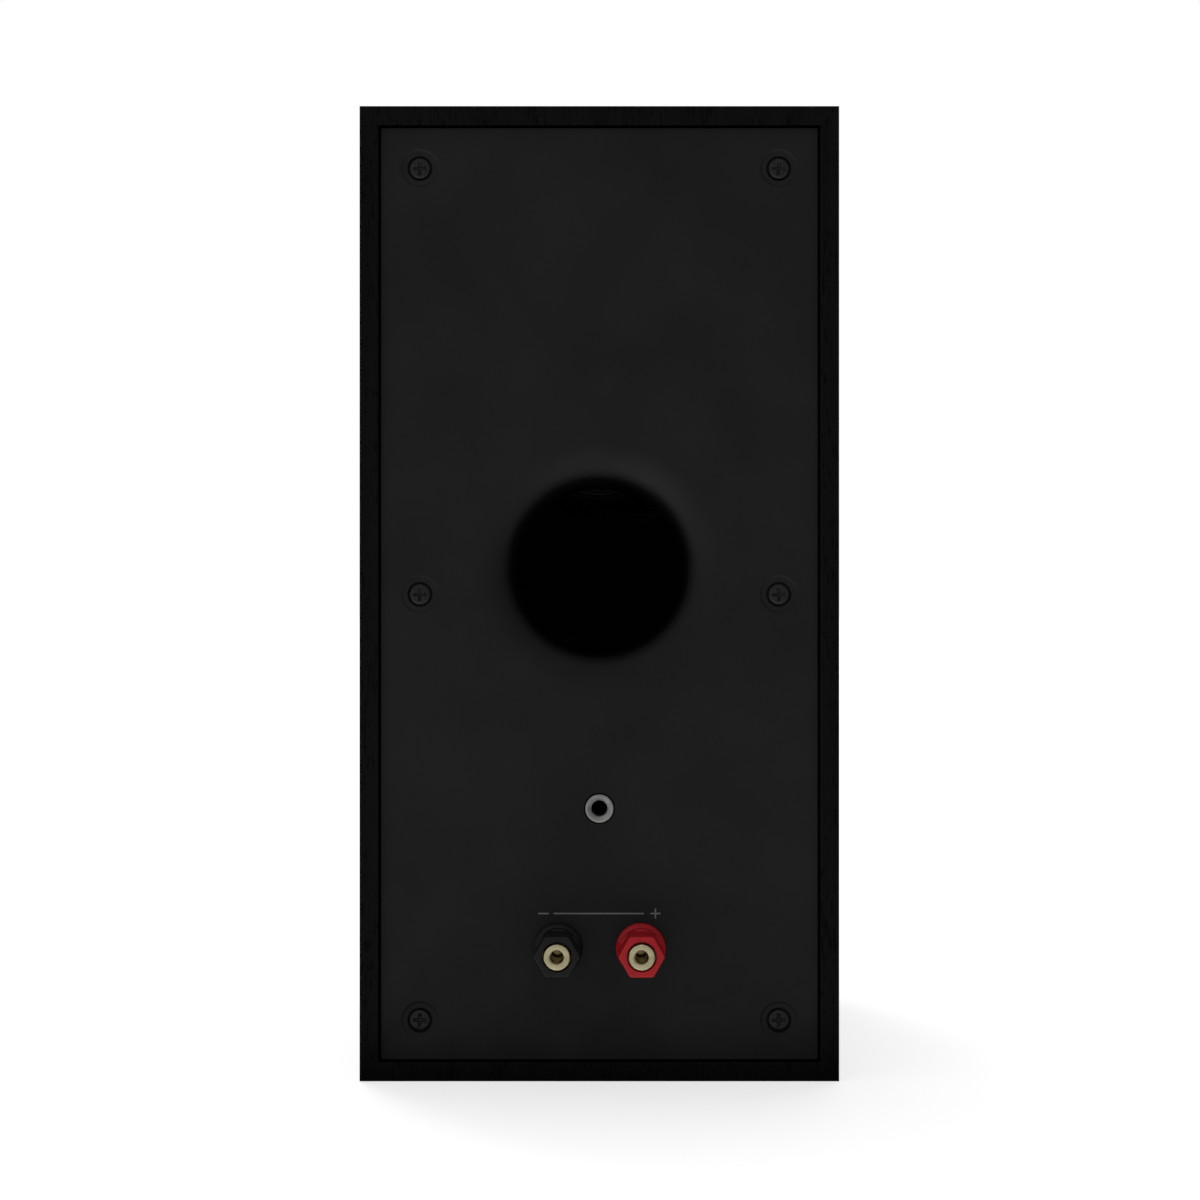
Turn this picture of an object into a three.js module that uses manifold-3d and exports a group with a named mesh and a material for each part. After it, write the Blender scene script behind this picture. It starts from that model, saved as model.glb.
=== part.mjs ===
// A compact two-way, rear-ported bookshelf speaker, drawn piece by piece as it comes apart on a bench.
// Millimetres, +Z up. The front baffle faces -Y and the rear panel faces +Y. The origin is on the
// surface that the speaker stands on, in the middle of its width and of its whole depth.
import * as THREE from "three";
import { mergeVertices } from "three/addons/utils/BufferGeometryUtils.js";
import Module from "manifold-3d";

const wasm = await Module();
wasm.setup();

// ---------------------------------------------------------------- driving dimensions

const WIDTH = 152;
const HEIGHT = 309;
const MID_Z = HEIGHT / 2;
const WALL = 12; // thickness of the wrapped MDF walls
const LIP = 6; // what is left of a wall beside the rabbet that takes the rear panel
const GLUE = 0.1; // glue line between pieces that meet face to face
const FIT = 0.3; // clearance round a piece that drops into a pocket

// Planes across the depth, front to back.
const GRILLE_FRONT_Y = -103;
const BAFFLE_FRONT_Y = -91;
const SHELL_FRONT_Y = -76;
const SHOULDER_Y = 75.5; // floor of the rabbet
const PANEL_Y = 81; // outer face of the rear panel
const SHELL_REAR_Y = 83;
const POST_END_Y = 103;

const PANEL_THICKNESS = 4;
const PANEL_GAP = 0.6; // shadow line round the rear panel
const PORT = { z: 162.8, mouth: 40, flareDepth: 7, bore: 29, spigotY: 62, innerEndY: -20 };
const POST = { x: 13.1, z: 42.2, studRadius: 4.05, boreRadius: 2.05 };
const INSERT = { z: 86.3, radius: 4.45, boreRadius: 2.55 };
const REAR_SCREW = { x: 57, midZ: 154.3, dz: 135.3, headRadius: 3.15, shankRadius: 1.6 };
const WOOFER = { z: 82, flange: 61, screwCircle: 56.4 };
const TWEETER = { z: 222, flange: 52, screwCircle: 46.5 };
const GRILLE = { width: 148, height: 305, corner: 4, bar: 12, clothThickness: 0.6 };

// Number of sides drawn on round outlines, all multiples of four so that mating rings line up.
const TINY_ROUND = 8;
const SMALL_ROUND = 12;
const MEDIUM_ROUND = 16;
const LARGE_ROUND = 24;

// ---------------------------------------------------------------- shape helpers

function solidOf(geometry) {
  const bare = geometry.index ? geometry.toNonIndexed() : geometry.clone();
  bare.deleteAttribute("normal");
  bare.deleteAttribute("uv");
  const merged = mergeVertices(bare, 1e-4);
  const mesh = new wasm.Mesh({
    numProp: 3,
    vertProperties: merged.attributes.position.array,
    triVerts: new Uint32Array(merged.index.array),
  });
  return new wasm.Manifold(mesh);
}

function geometryOf(solid) {
  const mesh = solid.getMesh();
  const geometry = new THREE.BufferGeometry();
  const position = new Float32Array(mesh.vertProperties);
  geometry.setAttribute("position", new THREE.BufferAttribute(position, 3));
  geometry.setIndex(new THREE.BufferAttribute(new Uint32Array(mesh.triVerts), 1));
  geometry.computeVertexNormals();
  return geometry;
}

function cut(base, ...tools) {
  return geometryOf(tools.reduce((solid, tool) => solid.subtract(solidOf(tool)), solidOf(base)));
}

function join(base, ...others) {
  return geometryOf(others.reduce((solid, other) => solid.add(solidOf(other)), solidOf(base)));
}

function common(base, other) {
  return geometryOf(solidOf(base).intersect(solidOf(other)));
}

// A piece turned about the Y axis. Its outline is [radius, y] points, anticlockwise, and it either
// starts and ends on the axis or is closed here.
function turned(outline, segments) {
  const points = outline.map(([radius, y]) => new THREE.Vector2(radius, y));
  const onAxis = outline[0][0] === 0 && outline.at(-1)[0] === 0;
  if (!onAxis) points.push(points[0].clone());
  return new THREE.LatheGeometry(points, segments);
}

function rod(radius, y0, y1, segments) {
  return turned([[0, y0], [radius, y0], [radius, y1], [0, y1]], segments);
}

function ring(inner, outer, y0, y1, segments) {
  return turned([[inner, y0], [outer, y0], [outer, y1], [inner, y1]], segments);
}

function box(x0, x1, y0, y1, z0, z1) {
  const geometry = new THREE.BoxGeometry(x1 - x0, y1 - y0, z1 - z0);
  return geometry.translate((x0 + x1) / 2, (y0 + y1) / 2, (z0 + z1) / 2);
}

// Points along an arc in the [radius, y] plane, from angle a to angle b in degrees.
function arc(centreRadius, centreY, radius, a, b, steps) {
  return Array.from({ length: steps + 1 }, (_, i) => {
    const angle = THREE.MathUtils.degToRad(a + ((b - a) * i) / steps);
    return [centreRadius + radius * Math.cos(angle), centreY + radius * Math.sin(angle)];
  });
}

// A flat board standing in the XZ plane, from y0 back to y1.
function board(shape, y0, y1, curveSegments = MEDIUM_ROUND) {
  const settings = { depth: y1 - y0, bevelEnabled: false, curveSegments };
  return new THREE.ExtrudeGeometry(shape, settings).rotateX(Math.PI / 2).translate(0, y1, 0);
}

function polygon(points) {
  return new THREE.Shape(points.map(([x, z]) => new THREE.Vector2(x, z)));
}

function rectangle(halfWidth, z0, z1) {
  return polygon([[-halfWidth, z0], [halfWidth, z0], [halfWidth, z1], [-halfWidth, z1]]);
}

function roundedRectangle(halfWidth, z0, z1, corner) {
  const shape = new THREE.Shape();
  shape.moveTo(-halfWidth + corner, z0);
  shape.lineTo(halfWidth - corner, z0);
  shape.absarc(halfWidth - corner, z0 + corner, corner, -Math.PI / 2, 0);
  shape.lineTo(halfWidth, z1 - corner);
  shape.absarc(halfWidth - corner, z1 - corner, corner, 0, Math.PI / 2);
  shape.lineTo(-halfWidth + corner, z1);
  shape.absarc(-halfWidth + corner, z1 - corner, corner, Math.PI / 2, Math.PI);
  shape.lineTo(-halfWidth, z0 + corner);
  shape.absarc(-halfWidth + corner, z0 + corner, corner, Math.PI, Math.PI * 1.5);
  return shape;
}

function withHole(shape, x, z, radius) {
  const hole = new THREE.Path();
  hole.absarc(x, z, radius, 0, Math.PI * 2);
  shape.holes.push(hole);
  return shape;
}

function withWindow(shape, window) {
  shape.holes.push(new THREE.Path(window.getPoints(3)));
  return shape;
}

// The same tool at several places: a list of translated copies.
function copies(geometry, places) {
  return places.map(([x, y, z]) => geometry.clone().translate(x, y, z));
}

// Four places on a circle about the Y axis, halfway between the axes.
function fourOnCircle(radius) {
  const d = radius * Math.SQRT1_2;
  return [[d, 0, d], [-d, 0, d], [-d, 0, -d], [d, 0, -d]];
}

const rearScrewPlaces = [-1, 0, 1].flatMap((row) =>
  [-1, 1].map((side) => [side * REAR_SCREW.x, 0, REAR_SCREW.midZ + row * REAR_SCREW.dz]),
);

// ---------------------------------------------------------------- materials

function material(hex, roughness, metalness = 0) {
  return new THREE.MeshStandardMaterial({ color: hex, roughness, metalness });
}

const FINISH = {
  vinyl: material(0x101010, 0.55),
  mdf: material(0x8a6a48, 0.9),
  baffle: material(0x141414, 0.5),
  moulding: material(0x1c1c1c, 0.55),
  foam: material(0x202020, 0.95),
  blackScrew: material(0x161616, 0.4, 0.8),
  zinc: material(0x9a9a98, 0.35, 1),
  gold: material(0xd8c9a0, 0.25, 1),
  brass: material(0xb08d4a, 0.35, 1),
  redPlastic: material(0xb01c26, 0.35),
  blackPlastic: material(0x18181a, 0.35),
  circuit: material(0x1f5a34, 0.5),
  copper: material(0xb5602a, 0.3, 1),
  capacitor: material(0x23324e, 0.35),
  cement: material(0xd9d5c8, 0.85),
  steel: material(0x8d8f92, 0.4, 1),
  ferrite: material(0x2b2b2d, 0.6),
  basket: material(0x1a1a1c, 0.45, 0.5),
  rubber: material(0x121212, 0.7),
  cone: material(0x1b1b1d, 0.6),
  spider: material(0xb98a3c, 0.9),
  dome: material(0x3a3a3e, 0.45),
  grilleCloth: material(0x151515, 0.95),
  wire: material(0x551111, 0.5),
  wadding: material(0xe6e6e0, 1),
};

function addPiece(group, name, geometry, finish, position = [0, 0, 0]) {
  const mesh = new THREE.Mesh(geometry, finish);
  mesh.name = name;
  mesh.position.set(...position);
  group.add(mesh);
}

// ---------------------------------------------------------------- cabinet

// Four walls folded up with mitred corners, rabbeted at the back for the rear panel.
function cabinet() {
  const group = new THREE.Group();
  const x = WIDTH / 2;
  const innerX = x - WALL;
  const mitre = 0.15; // sideways glue allowance on the top and bottom mitres
  const rabbet = box(-x + LIP, x - LIP, SHOULDER_Y, SHELL_REAR_Y + 1, LIP, HEIGHT - LIP);
  const wall = (points) => cut(board(polygon(points), SHELL_FRONT_Y, SHELL_REAR_Y), rabbet);

  const side = [[x, 0], [x, HEIGHT], [innerX, HEIGHT - WALL], [innerX, WALL]];
  const mirrored = side.map(([px, pz]) => [-px, pz]).reverse();
  addPiece(group, "left_side_panel", wall(side), FINISH.vinyl);
  addPiece(group, "right_side_panel", wall(mirrored), FINISH.vinyl);

  const wide = x - mitre;
  const narrow = innerX - mitre;
  const top = [[-narrow, HEIGHT - WALL], [narrow, HEIGHT - WALL], [wide, HEIGHT], [-wide, HEIGHT]];
  const bottom = [[-wide, 0], [wide, 0], [narrow, WALL], [-narrow, WALL]];
  addPiece(group, "top_panel", wall(top), FINISH.vinyl);
  addPiece(group, "bottom_panel", wall(bottom), FINISH.vinyl);

  addPiece(group, "front_baffle", frontBaffle(), FINISH.baffle);
  addPiece(group, "rear_frame", rearFrame(), FINISH.mdf);
  return group;
}

// The baffle has a stepped seat for each driver, so that their flanges lie flush with its face.
function frontBaffle() {
  const outline = roundedRectangle(WIDTH / 2, 0, HEIGHT, 1.5);
  const plain = board(outline, BAFFLE_FRONT_Y, SHELL_FRONT_Y - GLUE, 3);
  const seat = (driver, seatDepth, throughRadius, pilotRadius) => {
    const step = rod(driver.flange + 0.4, -1, seatDepth, LARGE_ROUND);
    const through = rod(throughRadius, -1, 16, LARGE_ROUND);
    const pilot = rod(pilotRadius, 0, 16, TINY_ROUND);
    const tools = [step, through, ...copies(pilot, fourOnCircle(driver.screwCircle))];
    return tools.map((tool) => tool.translate(0, BAFFLE_FRONT_Y, driver.z));
  };
  return cut(plain, ...seat(WOOFER, 4.5, 53, 2), ...seat(TWEETER, 3.8, 39, 1.7));
}

// An MDF ring glued inside the walls, which the rear panel's screws bite into.
function rearFrame() {
  const halfWidth = WIDTH / 2 - WALL - GLUE;
  const bar = 18;
  const thickness = 12;
  const shape = rectangle(halfWidth, WALL + GLUE, HEIGHT - WALL - GLUE);
  withWindow(shape, rectangle(halfWidth - bar, WALL + bar, HEIGHT - WALL - bar));
  for (const [px, , pz] of rearScrewPlaces) withHole(shape, px, pz, REAR_SCREW.shankRadius + FIT);
  return board(shape, SHOULDER_Y - thickness, SHOULDER_Y, TINY_ROUND);
}

// ---------------------------------------------------------------- rear panel, port and insert

// Air inside the flared mouth of the port, from the panel's face down to the socket for the tube.
// The flare is a quarter ellipse, wider than it is deep.
function portAir() {
  const { mouth, flareDepth, bore, spigotY } = PORT;
  const socketRadius = bore + 2.8;
  const throatY = PANEL_Y - flareDepth;
  const flatten = ([r, y]) => [mouth + (r - mouth) * (mouth - bore), throatY + (y - throatY) * flareDepth];
  const roundedEdge = arc(mouth, throatY, 1, 180, 90, 6).map(flatten);
  return turned(
    [
      [0, spigotY - 9],
      [socketRadius, spigotY - 9],
      [socketRadius, spigotY],
      [bore, spigotY],
      ...roundedEdge,
      [mouth, PANEL_Y + 1],
      [0, PANEL_Y + 1],
    ],
    LARGE_ROUND,
  ).translate(0, 0, PORT.z);
}

function rearPanel() {
  const halfWidth = WIDTH / 2 - LIP - PANEL_GAP;
  const z0 = LIP + PANEL_GAP;
  const innerY = PANEL_Y - PANEL_THICKNESS;
  const plate = board(rectangle(halfWidth, z0, HEIGHT - z0), innerY, PANEL_Y);
  const bellRadius = PORT.bore + 5.5;
  const bell = turned(
    [
      [0, PORT.spigotY - 8.5],
      [bellRadius, PORT.spigotY - 8.5],
      [bellRadius, innerY - 4],
      [bellRadius + 3.5, innerY - 1],
      [bellRadius + 4, innerY + 1],
      [0, innerY + 1],
    ],
    LARGE_ROUND,
  );
  const insertBoss = rod(8, innerY - 10, innerY + 1, SMALL_ROUND);
  const body = join(plate, bell.translate(0, 0, PORT.z), insertBoss.translate(0, 0, INSERT.z));

  // Counterbore for the head and clearance hole for the shank.
  const screwSeat = turned(
    [
      [0, innerY - 1],
      [REAR_SCREW.shankRadius + 0.4, innerY - 1],
      [REAR_SCREW.shankRadius + 0.4, PANEL_Y - 2],
      [REAR_SCREW.headRadius + 0.6, PANEL_Y - 2],
      [REAR_SCREW.headRadius + 0.6, PANEL_Y + 1],
      [0, PANEL_Y + 1],
    ],
    SMALL_ROUND,
  );
  const postHole = rod(5.7, innerY - 1, PANEL_Y + 1, MEDIUM_ROUND);
  const insertHole = rod(INSERT.radius + FIT, innerY - 11, PANEL_Y + 1, MEDIUM_ROUND);
  return cut(
    body,
    portAir(),
    ...copies(screwSeat, rearScrewPlaces),
    ...copies(postHole, [[POST.x, 0, POST.z], [-POST.x, 0, POST.z]]),
    ...copies(insertHole, [[0, 0, INSERT.z]]),
  );
}

function rearGasket() {
  const halfWidth = WIDTH / 2 - LIP - 0.4;
  const bar = 17;
  const shape = rectangle(halfWidth, LIP + 0.4, HEIGHT - LIP - 0.4);
  withWindow(shape, rectangle(halfWidth - bar, LIP + bar, HEIGHT - LIP - bar));
  for (const [px, , pz] of rearScrewPlaces) withHole(shape, px, pz, 2.3);
  return board(shape, SHOULDER_Y + GLUE, PANEL_Y - PANEL_THICKNESS - GLUE, TINY_ROUND);
}

function rearScrew() {
  const { headRadius, shankRadius } = REAR_SCREW;
  const body = turned(
    [
      [0, -16],
      [0.7, -14.5],
      [shankRadius, -12.5],
      [shankRadius, -1.9],
      [headRadius, -1.9],
      [headRadius, -0.6],
      [2.4, -0.1],
      [0, 0],
    ],
    SMALL_ROUND,
  );
  return cut(body, box(-1.8, 1.8, -1.3, 1, -0.4, 0.4), box(-0.4, 0.4, -1.3, 1, -1.8, 1.8));
}

// The reflex tube pushes into the panel's socket and flares out again at its inner end.
function portTube() {
  const { bore, spigotY, innerEndY } = PORT;
  const thickness = 2.5;
  const flare = { centreRadius: bore + 11.5, y: innerEndY + 11.5, radius: 11.5 };
  return turned(
    [
      ...arc(flare.centreRadius, flare.y, flare.radius - thickness, -100, -180, 3),
      [bore + thickness, spigotY - FIT],
      [bore, spigotY - FIT],
      ...arc(flare.centreRadius, flare.y, flare.radius, -180, -100, 4),
    ],
    LARGE_ROUND,
  );
}

function threadedInsert() {
  const { radius, boreRadius } = INSERT;
  return turned(
    [[boreRadius, -11.5], [radius, -11.5], [radius, 0.5], [3.5, 0.5], [boreRadius, -0.9]],
    MEDIUM_ROUND,
  );
}

function rearAssembly() {
  const group = new THREE.Group();
  addPiece(group, "rear_panel", rearPanel(), FINISH.moulding);
  addPiece(group, "rear_gasket", rearGasket(), FINISH.foam);
  addPiece(group, "port_tube", portTube(), FINISH.moulding, [0, 0, PORT.z]);
  addPiece(group, "threaded_insert", threadedInsert(), FINISH.zinc, [0, PANEL_Y, INSERT.z]);
  rearScrewPlaces.forEach(([px, , pz], i) =>
    addPiece(group, `rear_screw_${i + 1}`, rearScrew(), FINISH.blackScrew, [px, PANEL_Y - 0.05, pz]),
  );
  return group;
}

// ---------------------------------------------------------------- binding posts

function hexPrism(acrossFlats, y0, y1) {
  const prism = new THREE.CylinderGeometry(acrossFlats / Math.sqrt(3), acrossFlats / Math.sqrt(3), y1 - y0, 6);
  return prism.rotateY(Math.PI / 6).translate(0, (y0 + y1) / 2, 0);
}

// One five-way binding post. Local +Y points out of the panel, with y = 0 on its outer face.
function bindingPost(prefix, x, plastic) {
  const group = new THREE.Group();
  group.position.set(x, PANEL_Y, POST.z);
  const { studRadius, boreRadius } = POST;
  const endY = POST_END_Y - PANEL_Y;
  const tailRadius = 2.9;
  const tailBore = tailRadius + 0.25;

  const studBody = turned(
    [
      [0, -13],
      [tailRadius, -13],
      [tailRadius, 3.8],
      [6.2, 3.8],
      [6.2, 4.9],
      [studRadius, 4.9],
      [studRadius, endY],
      [boreRadius + 0.45, endY],
      [boreRadius, endY - 0.6],
      [boreRadius, endY - 18],
      [0, endY - 19],
    ],
    MEDIUM_ROUND,
  );
  const wireHole = new THREE.CylinderGeometry(1, 1, 20, 8).rotateZ(Math.PI / 2).translate(0, 6.6, 0);
  addPiece(group, `${prefix}_post_stud`, cut(studBody, wireHole), FINISH.gold);

  const collar = [
    [tailBore, -3.8],
    [5.4, -3.8],
    [5.4, GLUE],
    [7.85, GLUE],
    [7.85, 3],
    [7.3, 3.6],
    [tailBore, 3.6],
  ];
  addPiece(group, `${prefix}_post_collar`, turned(collar, MEDIUM_ROUND), plastic);
  addPiece(group, `${prefix}_post_washer`, ring(tailBore, 7.5, -6, -4.2, MEDIUM_ROUND), FINISH.blackPlastic);
  const nut = cut(hexPrism(9, -9.2, -6.2), rod(tailBore, -10, -5, MEDIUM_ROUND));
  addPiece(group, `${prefix}_post_nut`, nut, FINISH.steel);

  // The cap's threaded sleeve, and the hexagonal cap moulded round it on a round flange.
  addPiece(group, `${prefix}_cap_sleeve`, ring(studRadius + 0.2, 5.3, 8, 16.5, MEDIUM_ROUND), FINISH.brass);
  const hexagon = common(
    hexPrism(12.7, 7.5, 20.9),
    turned([[0, 7], [8, 7], [8, 20.2], [6.6, 20.9], [0, 20.9]], LARGE_ROUND),
  );
  const flange = rod(7.1, 5.15, 7.8, MEDIUM_ROUND);
  const inside = turned([[0, 4], [5.6, 4], [5.6, 16.8], [4.5, 16.8], [4.5, 22], [0, 22]], MEDIUM_ROUND);
  addPiece(group, `${prefix}_cap`, cut(join(hexagon, flange), inside), plastic);
  return group;
}

// ---------------------------------------------------------------- crossover

// The filter board stands on the tails of the binding posts, with its components facing inwards.
function crossover() {
  const group = new THREE.Group();
  const outerY = PANEL_Y - 9.5;
  const innerY = outerY - 1.6;
  const top = innerY - GLUE;
  const shape = rectangle(42, 32, 77);
  for (const x of [-POST.x, POST.x]) withHole(shape, x, POST.z, 3.2);
  addPiece(group, "crossover_board", board(shape, innerY, outerY, SMALL_ROUND), FINISH.circuit);

  const coil = (outer, inner, height) =>
    turned(
      [
        [4, -height],
        [outer, -height],
        [outer, -height + 1.5],
        [inner, -height + 1.5],
        [inner, -1.5],
        [outer, -1.5],
        [outer, 0],
        [4, 0],
      ],
      MEDIUM_ROUND,
    );
  addPiece(group, "woofer_inductor", coil(14, 12.5, 20), FINISH.copper, [-25, top, 61.5]);
  addPiece(group, "tweeter_inductor", coil(9, 8, 13), FINISH.copper, [31, top, 43.5]);
  const canister = (radius, length) => rod(radius, -length / 2, length / 2, SMALL_ROUND);
  const lying = canister(8, 30).rotateZ(Math.PI / 2);
  addPiece(group, "woofer_capacitor", lying, FINISH.capacitor, [23.5, top - 8.2, 65]);
  const standing = canister(5, 24).rotateX(Math.PI / 2);
  addPiece(group, "tweeter_capacitor", standing, FINISH.capacitor, [-1, top - 5.2, 62]);
  addPiece(group, "padding_resistor", box(-41, -19, -9.5, 0, 33.5, 42.5), FINISH.cement, [0, top, 0]);
  return group;
}

// ---------------------------------------------------------------- woofer

// Local y = 0 is the baffle's face and +y runs into the cabinet.
function woofer() {
  const group = new THREE.Group();
  group.position.set(0, BAFFLE_FRONT_Y, WOOFER.z);

  const basketBody = turned(
    [
      [51.6, 0],
      [61, 0],
      [61, 3],
      [52, 3],
      [52, 8],
      [40, 28],
      [40, 33],
      [20, 33],
      [20, 31],
      [33, 31],
      [33, 27],
      [38.5, 27],
      [50, 7.5],
      [50, 4],
      [46.5, 4],
      [46.5, 2],
      [51.6, 2],
    ],
    LARGE_ROUND,
  );
  const opening = box(36, 60, 10, 25, -12, 12);
  const openings = [0, 1, 2, 3, 4, 5].map((i) => opening.clone().rotateY((i * Math.PI) / 3));
  const countersink = turned([[0, -1], [3.9, -1], [3.9, 0.4], [2.1, 2.3], [2.1, 5], [0, 5]], SMALL_ROUND);
  const screwPlaces = fourOnCircle(WOOFER.screwCircle);
  addPiece(group, "woofer_basket", cut(basketBody, ...openings, ...copies(countersink, screwPlaces)), FINISH.basket);

  const gasket = cut(ring(53.4, 60.8, 3.1, 4.3, LARGE_ROUND), ...copies(rod(2.2, 2, 5, TINY_ROUND), screwPlaces));
  addPiece(group, "woofer_gasket", gasket, FINISH.foam);

  // Half-roll rubber surround between the basket's ledge and the cone's edge.
  const roll = { radius: 42.6, y: 1.3, outer: 4, thickness: 0.6 };
  const surround = [
    [51.2, roll.y + roll.thickness],
    ...arc(roll.radius, roll.y + roll.thickness, roll.outer - roll.thickness, 0, -180, 4),
    [35.6, roll.y + roll.thickness],
    [35.6, roll.y],
    ...arc(roll.radius, roll.y, roll.outer, -180, 0, 4),
    [51.2, roll.y],
  ];
  addPiece(group, "woofer_surround", turned(surround, LARGE_ROUND), FINISH.rubber);

  // A gently curved cone, 0.9 thick, from the voice coil out to the surround.
  const front = [[13.1, 21.5], [18, 16.5], [24, 11.5], [31, 6.5], [38.2, 2.1]];
  const back = front.map(([r, y]) => [r, y + 0.9]).reverse();
  addPiece(group, "woofer_cone", turned([...front, ...back], LARGE_ROUND), FINISH.cone);

  // A shallow spherical dust cap whose rim rests on the cone.
  const dome = { centreY: 37.5, radius: 25.7, thickness: 0.7, rimAngle: -50 };
  const capFront = arc(0, dome.centreY, dome.radius, dome.rimAngle, -90, 4).reverse();
  const capBack = arc(0, dome.centreY, dome.radius - dome.thickness, dome.rimAngle, -90, 4);
  for (const crest of [capFront[0], capBack.at(-1)]) crest[0] = 0;
  addPiece(group, "woofer_dust_cap", turned([...capFront, ...capBack], MEDIUM_ROUND), FINISH.cone);

  const voiceCoil = [[12.4, 20], [12.8, 20], [12.8, 33.4], [13.4, 33.4], [13.4, 42], [12.4, 42]];
  addPiece(group, "woofer_voice_coil", turned(voiceCoil, MEDIUM_ROUND), FINISH.copper);

  // Corrugated centring spider.
  const corrugation = [[13.1, 0], [15.5, -1.2], [18.5, 1.2], [21.5, -1.2], [24.5, 1.2], [27.5, -1.2], [30.5, 0]];
  const lower = [...corrugation, [38.2, 0]].map(([r, y]) => [r, y + 26.2]);
  const upper = lower.map(([r, y]) => [r, y + 0.5]).reverse();
  addPiece(group, "woofer_spider", turned([...lower, ...upper], MEDIUM_ROUND), FINISH.spider);

  addPiece(group, "woofer_top_plate", ring(14.2, 37, 33.3, 38.3, LARGE_ROUND), FINISH.steel);
  addPiece(group, "woofer_magnet", ring(18, 38, 38.6, 52.6, LARGE_ROUND), FINISH.ferrite);
  const yoke = [[4, 33.6], [11.8, 33.6], [11.8, 52.9], [36, 52.9], [36, 57.9], [4, 57.9]];
  addPiece(group, "woofer_yoke", turned(yoke, MEDIUM_ROUND), FINISH.steel);

  const screwBody = turned([[0, 0.3], [3.3, 0.3], [3.3, 0.7], [1.6, 2.4], [1.6, 16], [0, 18]], SMALL_ROUND);
  const screw = cut(screwBody, box(-1.8, 1.8, -1, 1.5, -0.4, 0.4), box(-0.4, 0.4, -1, 1.5, -1.8, 1.8));
  screwPlaces.forEach((place, i) =>
    addPiece(group, `woofer_screw_${i + 1}`, screw, FINISH.blackScrew, place),
  );
  return group;
}

// ---------------------------------------------------------------- tweeter

function tweeter() {
  const group = new THREE.Group();
  group.position.set(0, BAFFLE_FRONT_Y, TWEETER.z);

  // Faceplate with a shallow round waveguide round the dome.
  const waveguide = [[42, 0.2], [38, 1.1], [32, 3.4], [26, 6.2], [21, 8.8], [17.5, 11.2]];
  const plateBody = turned(
    [[42, 0.2], [52, 0], [52, 3.5], [37.5, 3.5], [37.5, 7], [31, 13.5], [16.6, 13.5], ...waveguide.slice(1).reverse()],
    LARGE_ROUND,
  );
  const countersink = turned([[0, -1], [3.3, -1], [3.3, 0.4], [1.8, 2], [1.8, 5], [0, 5]], SMALL_ROUND);
  const faceplate = cut(plateBody, ...copies(countersink, fourOnCircle(TWEETER.screwCircle)));
  addPiece(group, "tweeter_faceplate", faceplate, FINISH.moulding);

  const domeFront = [[0, 8.6], [3.5, 9], [7, 10.2], [10, 12], [12.6, 14]];
  const domeBack = domeFront.map(([r, y]) => [r, y + 0.4]).reverse();
  addPiece(group, "tweeter_dome", turned([...domeFront, ...domeBack], MEDIUM_ROUND), FINISH.dome);
  const surround = [
    [13, 14.1],
    ...arc(14.6, 13.9, 1.5, -180, 0, 4),
    [20, 13.9],
    [20, 14.2],
    ...arc(14.6, 14.2, 1.2, 0, -180, 4),
    [13, 14.4],
  ];
  addPiece(group, "tweeter_surround", turned(surround, MEDIUM_ROUND), FINISH.rubber);
  addPiece(group, "tweeter_voice_coil", ring(12.5, 13.1, 14.6, 19.5, MEDIUM_ROUND), FINISH.copper);

  addPiece(group, "tweeter_top_plate", ring(13.9, 30, 14.9, 17.9, MEDIUM_ROUND), FINISH.steel);
  addPiece(group, "tweeter_magnet", ring(17, 30, 18.1, 28.1, MEDIUM_ROUND), FINISH.ferrite);
  const yoke = [[0, 14.9], [11.8, 14.9], [11.8, 28.3], [29, 28.3], [29, 32.3], [0, 32.3]];
  addPiece(group, "tweeter_yoke", turned(yoke, MEDIUM_ROUND), FINISH.steel);
  return group;
}

// ---------------------------------------------------------------- grille

function grille() {
  const group = new THREE.Group();
  const { width, height, corner, bar, clothThickness } = GRILLE;
  const z0 = MID_Z - height / 2;
  const outline = () => roundedRectangle(width / 2, z0, z0 + height, corner);
  const frameFront = GRILLE_FRONT_Y + clothThickness + GLUE;
  const innerX = width / 2 - bar;
  const shape = outline();
  withWindow(shape, roundedRectangle(innerX, z0 + bar, MID_Z - 5, 3));
  withWindow(shape, roundedRectangle(innerX, MID_Z + 5, z0 + height - bar, 3));
  addPiece(group, "grille_frame", board(shape, frameFront, BAFFLE_FRONT_Y - 0.2, 3), FINISH.blackPlastic);
  const cloth = board(outline(), GRILLE_FRONT_Y, GRILLE_FRONT_Y + clothThickness, 3);
  addPiece(group, "grille_cloth", cloth, FINISH.grilleCloth);
  return group;
}

// ---------------------------------------------------------------- wiring and wadding

// A flat twin lead, 4.4 by 2.2, laid along the points it passes through.
function twinLead(points) {
  const section = new THREE.Shape();
  section.absarc(1.1, 0, 1.1, -Math.PI / 2, Math.PI / 2);
  section.absarc(-1.1, 0, 1.1, Math.PI / 2, Math.PI * 1.5);
  const route = new THREE.CatmullRomCurve3(points.map((point) => new THREE.Vector3(...point)), false, "centripetal");
  return new THREE.ExtrudeGeometry(section, { steps: 22, curveSegments: 2, extrudePath: route });
}

const WOOFER_LEAD = [
  [5, 69.4, 36],
  [5.2, 61, 35.8],
  [10, 50, 33],
  [24, 34, 30],
  [40, 14, 40],
  [49, -14, 66],
  [49, -38, 98],
  [34, -58, 124],
  [10, -67.5, 137],
];
const TWEETER_LEAD = [
  [-5, 69.4, 36],
  [-5.2, 61, 35.8],
  [-12, 50, 32],
  [-28, 38, 36],
  [-48, 22, 66],
  [-54, 6, 112],
  [-52, -10, 162],
  [-38, -34, 196],
  [-18, -56, 184],
  [0, -74, 186],
];

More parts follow.
